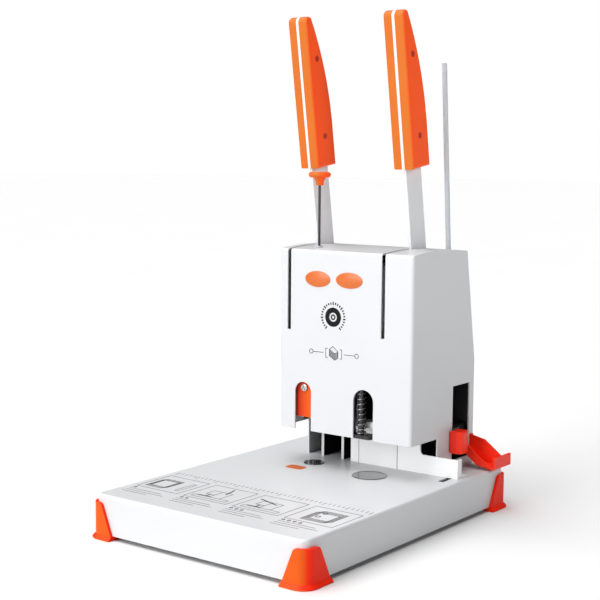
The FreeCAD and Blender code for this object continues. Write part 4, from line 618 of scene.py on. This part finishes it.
# what is drawn in a frame is measured from the frame's lower left corner
guideStrip = {"line": 0.55, "thick": 0.1, "low": -121.0,
              "frames": (-110, -52, 6, 64), "frame": (0, 0, 50, 46),
              "ruler": {"left": -110.0, "right": 115.0, "y": -61.0, "ticks": 45, "group": 5,
                        "long": 7.0, "short": 4.2},
              "pips": {"x": 3, "y": -5, "step": 6.0, "radius": 1.8, "hole": 0.8},
              "captions": {"x": 1, "lines": [(-10, 40), (-15, 46), (-20, 30)]},
              "loose": {"sheets": 4, "box": (5, 6, 25, 30), "step": (1, 1.5)},
              "tube": (40, 8, 44, 34),
              "press": {"boxes": [(5, 5, 45, 10), (22, 10, 34, 30), (12, 18, 22, 30)],
                        "hinge": (29, 26), "lever": 1.6, "paper": (8, 22, 11.5), "paperLine": 1.2,
                        "drill": (17, 18), "drillLine": 1.4,
                        "poses": [((26, 41), 13), ((6, 34), 11)]},  # lever tip, drill tip
              "bound": {"sheets": 5, "box": (12, 6, 36, 31), "step": (1.2, 1.6)},
              "rivets": {"x": 21, "y": (20, 31), "radius": 2.6, "hole": 1.6}}


def sheetBoxes(x, y, stack, wide):  # the same outline again and again, a step along each time
    quads = []
    for i in range(stack["sheets"]):
        quads += boxStrokes(x + i * stack["step"][0], y + i * stack["step"][1], stack["box"], wide)
    return quads


def printedStrip():  # a tick scale and four line drawings of the work, with no words
    wide, low, frames = guideStrip["line"], guideStrip["low"], guideStrip["frames"]
    ruler, pips, captions = guideStrip["ruler"], guideStrip["pips"], guideStrip["captions"]
    press, rivets = guideStrip["press"], guideStrip["rivets"]
    quads, rings = [], []
    pitch = (ruler["right"] - ruler["left"]) / ruler["ticks"]
    for i in range(ruler["ticks"] + 1):
        x = ruler["left"] + i * pitch
        long = ruler["long"] if i % ruler["group"] == 0 else ruler["short"]
        quads.append(stroke((x, ruler["y"] - long), (x, ruler["y"]), wide))
    for left in frames:
        quads += boxStrokes(left, low, guideStrip["frame"], wide)
    for step, left in enumerate(frames, start=1):  # a frame has as many pips as its place
        for i in range(step):
            middle = (left + pips["x"] + i * pips["step"], low + pips["y"])
            rings.append((middle, pips["radius"], pips["hole"]))
        for y, end in captions["lines"]:
            quads.append(stroke((left + captions["x"], low + y), (left + end, low + y), wide))
    quads += sheetBoxes(frames[0], low, guideStrip["loose"], wide)  # sheets and a length of tube
    quads += boxStrokes(frames[0], low, guideStrip["tube"], wide)
    for left, (tip, bottom) in zip(frames[1:3], press["poses"]):  # lever up, then down
        for box in press["boxes"]:
            quads += boxStrokes(left, low, box, wide)
        hinge, drill = press["hinge"], press["drill"]
        start, end, height = press["paper"]
        for a, b, line in ((hinge, tip, press["lever"]),
                           (drill, (drill[0], bottom), press["drillLine"]),
                           ((start, height), (end, height), press["paperLine"])):
            quads.append(stroke((left + a[0], low + a[1]), (left + b[0], low + b[1]), line))
    quads += sheetBoxes(frames[3], low, guideStrip["bound"], wide)  # the stack with its two rivets
    for y in rivets["y"]:
        rings.append(((frames[3] + rivets["x"], low + y), rivets["radius"], rivets["hole"]))
    placing = Matrix.Translation((0, 0, baseTop * mm))
    strip = inkSheet(quads, rings, placing, guideStrip["thick"])
    hand(strip, "base_printed_strip", softInkFinish, "chassis")


printedStrip()

orangePatch = {"x": -38.0, "y": 28.5, "long": 20.0, "wide": 13.0, "thick": 0.2, "corner": 4.0,
               "cornerSteps": 6}


def basePatch():  # plain orange patch in front of the rivet die
    deselect()
    bpy.ops.mesh.primitive_plane_add(size=1)
    patch = bpy.context.object
    patch.scale = (orangePatch["long"] * mm, orangePatch["wide"] * mm, 1)
    applyAll(patch)
    editing(patch)
    bpy.ops.mesh.select_all(action="SELECT")
    bpy.ops.mesh.bevel(offset=orangePatch["corner"] * mm, segments=orangePatch["cornerSteps"],
                       affect="VERTICES")
    slab(orangePatch["thick"] * mm)
    spot = (orangePatch["x"] * mm, orangePatch["y"] * mm, baseTop * mm)
    settle(patch, Matrix.Translation(spot))
    tidyNormals(patch)
    hand(patch, "base_orange_patch", badgeFinish, "chassis")


basePatch()
print("prints and badges done")

screwHead = {"sides": 40, "dome": 0.55, "domeSteps": 4, "twist": 0.5,  # radians
             "slotLong": 1.25, "slotWide": 0.28, "slotDeep": 1.1}  # shares of radius and height


def crossScrew(screw, turn, name, body):
    # pan head with a cross recess, copied to each spot; turn takes +Z to the way the head faces
    radius, height = screw["radius"], screw["height"]
    deselect()
    bpy.ops.mesh.primitive_cylinder_add(vertices=screwHead["sides"], radius=radius * mm,
                                        depth=height * mm, location=(0, 0, height * mm / 2))
    head = bpy.context.object
    applyAll(head)
    useModifier(head, "BEVEL", width=height * screwHead["dome"] * mm,
                segments=screwHead["domeSteps"], limit_method="ANGLE")
    bars = []
    for angle in (0, math.pi / 2):
        deselect()
        bpy.ops.mesh.primitive_cube_add(size=1, location=(0, 0, height * mm),
                                        rotation=(0, 0, angle + screwHead["twist"]))
        bar = bpy.context.object
        bar.scale = (radius * screwHead["slotLong"] * mm, radius * screwHead["slotWide"] * mm,
                     height * screwHead["slotDeep"] * mm)
        applyAll(bar)
        bars.append(bar)
    carve(head, bars)
    copies = []
    for spot in screw["spots"]:
        copy = copyOf(head)
        settle(copy, Matrix.Translation(Vector(spot) * mm) @ turn)
        copies.append(copy)
    bpy.data.objects.remove(head)
    group = fuse(copies)
    hand(group, name, finishes["steel"], body)
    return group


shroudScrew = {"radius": 3.8, "height": 1.6, "spots": [(-38.5, 42.8, 118.5)]}
rearScrews = {"radius": 2.8, "height": 1.5,
              "spots": [(x, 155.0, z) for x in (-61.0, 83.0) for z in (52.0, 98.0, 140.0)]}
shroudHead = crossScrew(shroudScrew, faceFront, "shroud_cross_screw", "rivet_ram")
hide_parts("shroud_screw")
crossScrew(rearScrews, faceBack, "rear_panel_screws", "chassis")
print("screws done")

# edge and reaches are along X, then along Y; spare, over and cutter are for the cutting blocks
footForm = {"edge": (120.0, 165.0), "round": 8.0, "roundSteps": 8, "wall": 3.0, "flare": 3.0,
            "rim": 4.0, "rimStep": 0.8, "root": 1, "top": 33.5, "gap": 0.2,
            "lowReach": (22.0, 30.0), "topReach": (10.2, 15.7), "topRound": 3.0, "topSteps": 4,
            "screw": (105.0, 150.0), "shank": 2.1, "head": 4.1, "sink": 2.5, "holeSides": 32,
            "ease": 0.5, "easeAngle": 50, "spare": 10, "over": 5, "cutter": (100.0, 600)}
footCorners = {"front_left": (-1, -1), "front_right": (1, -1), "rear_left": (-1, 1),
               "rear_right": (1, 1)}
near, endSlack = 0.1, 0.3  # how close picked points lie


def cornerBlock(inner, outer, radius, low, high):  # upright block with its outer corner rounded
    deselect()
    bpy.ops.mesh.primitive_plane_add(size=1)
    block = bpy.context.object
    block.scale = ((outer[0] - inner[0]) * mm, (outer[1] - inner[1]) * mm, 1)
    block.location = ((outer[0] + inner[0]) / 2 * mm, (outer[1] + inner[1]) / 2 * mm, low * mm)
    applyAll(block)
    editing(block)
    corner = Vector(outer) * mm
    pick(block, "VERT", lambda point: (point.co.xy - corner).length < near * mm)
    bpy.ops.mesh.bevel(offset=radius * mm, segments=footForm["roundSteps"], affect="VERTICES")
    slab((high - low) * mm)
    tidyNormals(block)
    return block


def pickEdges(piece, test):  # a test on an edge's two ends, in mm
    pick(piece, "EDGE", lambda edge: test(*[point.co / mm for point in edge.verts]))


def slantCutter(axis):  # big cube whose face lies on the slanted end of a wall
    low = footForm["edge"][axis] - footForm["lowReach"][axis]
    top = footForm["edge"][axis] - footForm["topReach"][axis]
    deep, wide = footForm["cutter"]
    lean = math.atan2(top - low, footForm["top"] - footForm["rim"])
    middle = Vector(((low + top) / 2, 0, (footForm["top"] + footForm["rim"]) / 2))
    place = middle - Vector((math.cos(lean), 0, -math.sin(lean))) * (deep / 2)
    deselect()
    bpy.ops.mesh.primitive_cube_add(size=1)
    cutter = bpy.context.object
    size = Matrix.Diagonal((deep * mm, wide * mm, deep * mm, 1))
    placing = Matrix.Translation(place * mm) @ (Matrix.Rotation(lean, 4, "Y") @ size)
    if axis == 1:
        placing = Matrix.Rotation(math.radians(90), 4, "Z") @ placing
    settle(cutter, placing)
    return cutter


def footWall():  # walls with slanted ends round the base corner
    edge, thick, gap = footForm["edge"], footForm["wall"], footForm["gap"]
    rim, high, spare = footForm["rim"], footForm["top"], footForm["spare"]
    inner = [c - reach for c, reach in zip(edge, footForm["lowReach"])]
    wall = cornerBlock([c - spare for c in inner], [c + thick for c in edge],
                       footForm["round"] + thick, rim - footForm["root"], high)
    hollow = cornerBlock([c - 2 * spare for c in inner], [c + gap for c in edge],
                         footForm["round"] + gap, rim, high + footForm["over"])
    carve(wall, [hollow, slantCutter(0), slantCutter(1)])
    endX, endY = (c - reach + endSlack for c, reach in zip(edge, footForm["topReach"]))
    editing(wall)
    pickEdges(wall, lambda a, b: min(a.z, b.z) > high - near
              and (max(a.x, b.x) < endX or max(a.y, b.y) < endY))
    bpy.ops.mesh.bevel(offset=footForm["topRound"] * mm, segments=footForm["topSteps"],
                       affect="EDGES")
    deselect()
    return wall


def footRim():  # flared plate under the corner, chamfered, with the screw's hole
    edge, rim, flare = footForm["edge"], footForm["rim"], footForm["flare"]
    inX, inY = (c - reach for c, reach in zip(edge, footForm["lowReach"]))
    step = footForm["rimStep"]
    plate = cornerBlock([inX - step, inY - step], [c + footForm["wall"] + flare for c in edge],
                        footForm["round"] + footForm["wall"] + flare, 0, rim)
    editing(plate)
    pickEdges(plate, lambda a, b: min(a.z, b.z) > rim - near
              and max(a.x, b.x) > inX and max(a.y, b.y) > inY)
    bpy.ops.mesh.bevel(offset=flare * mm, segments=1, affect="EDGES")
    deselect()
    x, y = (c * mm for c in footForm["screw"])
    holes = []
    for radius, depth in ((footForm["shank"], 4 * rim), (footForm["head"], 2 * footForm["sink"])):
        deselect()
        bpy.ops.mesh.primitive_cylinder_add(vertices=footForm["holeSides"], radius=radius * mm,
                                            depth=depth * mm, location=(x, y, 0))
        holes.append(bpy.context.object)
    carve(plate, holes)
    return plate


def cornerFeet():  # one foot, mirrored to the four corners
    model = footWall()
    carve(model, [footRim()], "UNION")
    useModifier(model, "BEVEL", width=footForm["ease"] * mm, segments=2, limit_method="ANGLE",
                angle_limit=math.radians(footForm["easeAngle"]))
    for name, (across, along) in footCorners.items():
        foot = copyOf(model)
        foot.scale = (across, along, 1)
        applyAll(foot)
        tidyNormals(foot)
        # front feet take the painted front light, rear feet the plain orange
        finish = finishes["foot" if along < 0 else "rearFoot"]
        hand(foot, name + "_foot_moulding", finish, "chassis")
        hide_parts(name + "_foot")
    bpy.data.objects.remove(model)


cornerFeet()
print("feet done")

coilForm = {"x": 27.0, "y": 47.0, "low": 79.6, "high": 133.9, "radius": 4.7, "wire": 1.2,
            "turns": 10, "closed": 1.25, "perTurn": 12, "between": 3, "wireSteps": 2,
            "smoothAngle": 50}


def coilPoints():  # a steady helix between closed end turns that lie wire on wire
    wire, closed = coilForm["wire"], coilForm["closed"]
    low, high = coilForm["low"] + wire / 2, coilForm["high"] - wire / 2
    pitch = (high - low - 2 * closed * wire) / coilForm["turns"]
    turns = coilForm["turns"] + 2 * closed
    count = round(turns * coilForm["perTurn"])
    points = []
    for i in range(count + 1):
        turn = turns * i / count
        active = min(max(turn - closed, 0), coilForm["turns"])
        z = low + (turn - active) * wire + active * pitch
        angle = 2 * math.pi * turn
        points.append((coilForm["x"] + coilForm["radius"] * math.cos(angle),
                       coilForm["y"] + coilForm["radius"] * math.sin(angle), z))
    return points


def pressCoil():  # the spring round the drill, which the foot presses together as it lifts; made at one fixed length
    curve = bpy.data.curves.new("press_coil", "CURVE")
    curve.dimensions = "3D"
    curve.resolution_u = coilForm["between"]
    curve.bevel_depth = coilForm["wire"] / 2 * mm
    curve.bevel_resolution = coilForm["wireSteps"]
    curve.use_fill_caps = True
    line = curve.splines.new("NURBS")
    points = coilPoints()
    line.points.add(len(points) - 1)
    for point, spot in zip(line.points, points):
        point.co = (*[c * mm for c in spot], 1)
    line.order_u = 3
    line.use_endpoint_u = True
    coil = bpy.data.objects.new("press_coil", curve)
    bpy.context.collection.objects.link(coil)
    only(coil)
    bpy.ops.object.convert(target="MESH")
    tidyNormals(coil)
    dress(coil, "press_coil", finishes["spring"], coilForm["smoothAngle"])
    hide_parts("press_spring")
    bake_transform(coil)
    deselect()


pressCoil()
print("spring done")

floorLook = {"wide": 40.0, "z": -0.0002, "colour": (0.77, 0.77, 0.77), "dip": 0.98, "cloud": 3.0,
             "rough": 0.9, "shine": 0.1}
lights = {
    "fill": 0.165,
    "exposure": 0.0,
    "lamps": {
        "sky_panel": {"kind": "SUN", "at": (-0.25, -0.25, 1.0), "to": (0, 0, 0), "soft": 65,
                      "power": 3.4},
        "front_panel": {"kind": "SUN", "at": (-0.3, -1.0, 0.2), "to": (0, 0, 0), "soft": 40,
                        "power": 2.35},
        "grip_panel": {"kind": "AREA", "at": (1.7, -0.5, 1.0), "to": (0, 0.07, 0.42),
                       "size": 0.6, "spread": 25, "power": 0.42},
    },
}


def paleFloor():
    deselect()
    bpy.ops.mesh.primitive_plane_add(size=floorLook["wide"], location=(0, 0, floorLook["z"]))
    floor = bpy.context.object
    floor.name = "pale_floor"
    material, wire, shader, where = newFinish("pale_floor")
    colour = floorLook["colour"]
    cloud = noise(wire, where, floorLook["cloud"])
    feed(shader, {
        "Base Color": mixColours(wire, cloud, [c * floorLook["dip"] for c in colour], colour),
        "Roughness": floorLook["rough"],
        "Specular IOR Level": floorLook["shine"],
    })
    floor.data.materials.append(material)


def studio():
    scene = bpy.context.scene
    world = scene.world or bpy.data.worlds.new("studio")
    scene.world = world
    world.use_nodes = True
    seen = Wire(world.node_tree).node("LightPath", out="Is Camera Ray")
    feed(world.node_tree.nodes["Background"], {  # the backdrop stays white, the fill stays soft
        "Color": (1, 1, 1, 1),
        "Strength": lights["fill"] + seen * (1.0 - lights["fill"]),
    })
    for name, lamp in lights["lamps"].items():
        data = bpy.data.lights.new(name, lamp["kind"])
        data.energy = lamp["power"]
        if lamp["kind"] == "SUN":
            data.angle = math.radians(lamp["soft"])
        else:
            data.size = lamp["size"]
            data.spread = math.radians(lamp["spread"])
        obj = bpy.data.objects.new(name, data)
        scene.collection.objects.link(obj)
        place = Vector(lamp["at"])
        turn = (Vector(lamp["to"]) - place).to_track_quat("-Z", "Y")
        obj.matrix_world = Matrix.Translation(place) @ turn.to_matrix().to_4x4()
    scene.view_settings.view_transform = "Standard"
    scene.view_settings.exposure = lights["exposure"]


paleFloor()
studio()

# place in mm, angles in degrees, focal length and frame in pixels
camera = {"at": (720.73, -966.21, 343.2), "yaw": 37.2038, "pitch": -6.2108, "roll": 0.4303,
          "focal": 1288.394, "frame": 600, "sensor": 36.0}


def photoCamera():
    yaw, pitch, roll = (math.radians(camera[k]) for k in ("yaw", "pitch", "roll"))
    level = math.cos(pitch)
    ahead = Vector((-math.sin(yaw) * level, math.cos(yaw) * level, math.sin(pitch)))
    side = ahead.cross(Vector((0, 0, 1))).normalized()
    up = side.cross(ahead)
    right = side * math.cos(roll) + up * math.sin(roll)
    over = up * math.cos(roll) - side * math.sin(roll)
    data = bpy.data.cameras.new("photo_camera")
    data.sensor_width = camera["sensor"]
    data.lens = camera["focal"] / camera["frame"] * data.sensor_width
    obj = bpy.data.objects.new("photo_camera", data)
    bpy.context.scene.collection.objects.link(obj)
    turn = Matrix((right, over, -ahead)).transposed().to_4x4()
    obj.matrix_world = Matrix.Translation(Vector(camera["at"]) * mm) @ turn
    bpy.context.scene.camera = obj


photoCamera()
print("studio and camera set")

deselect()
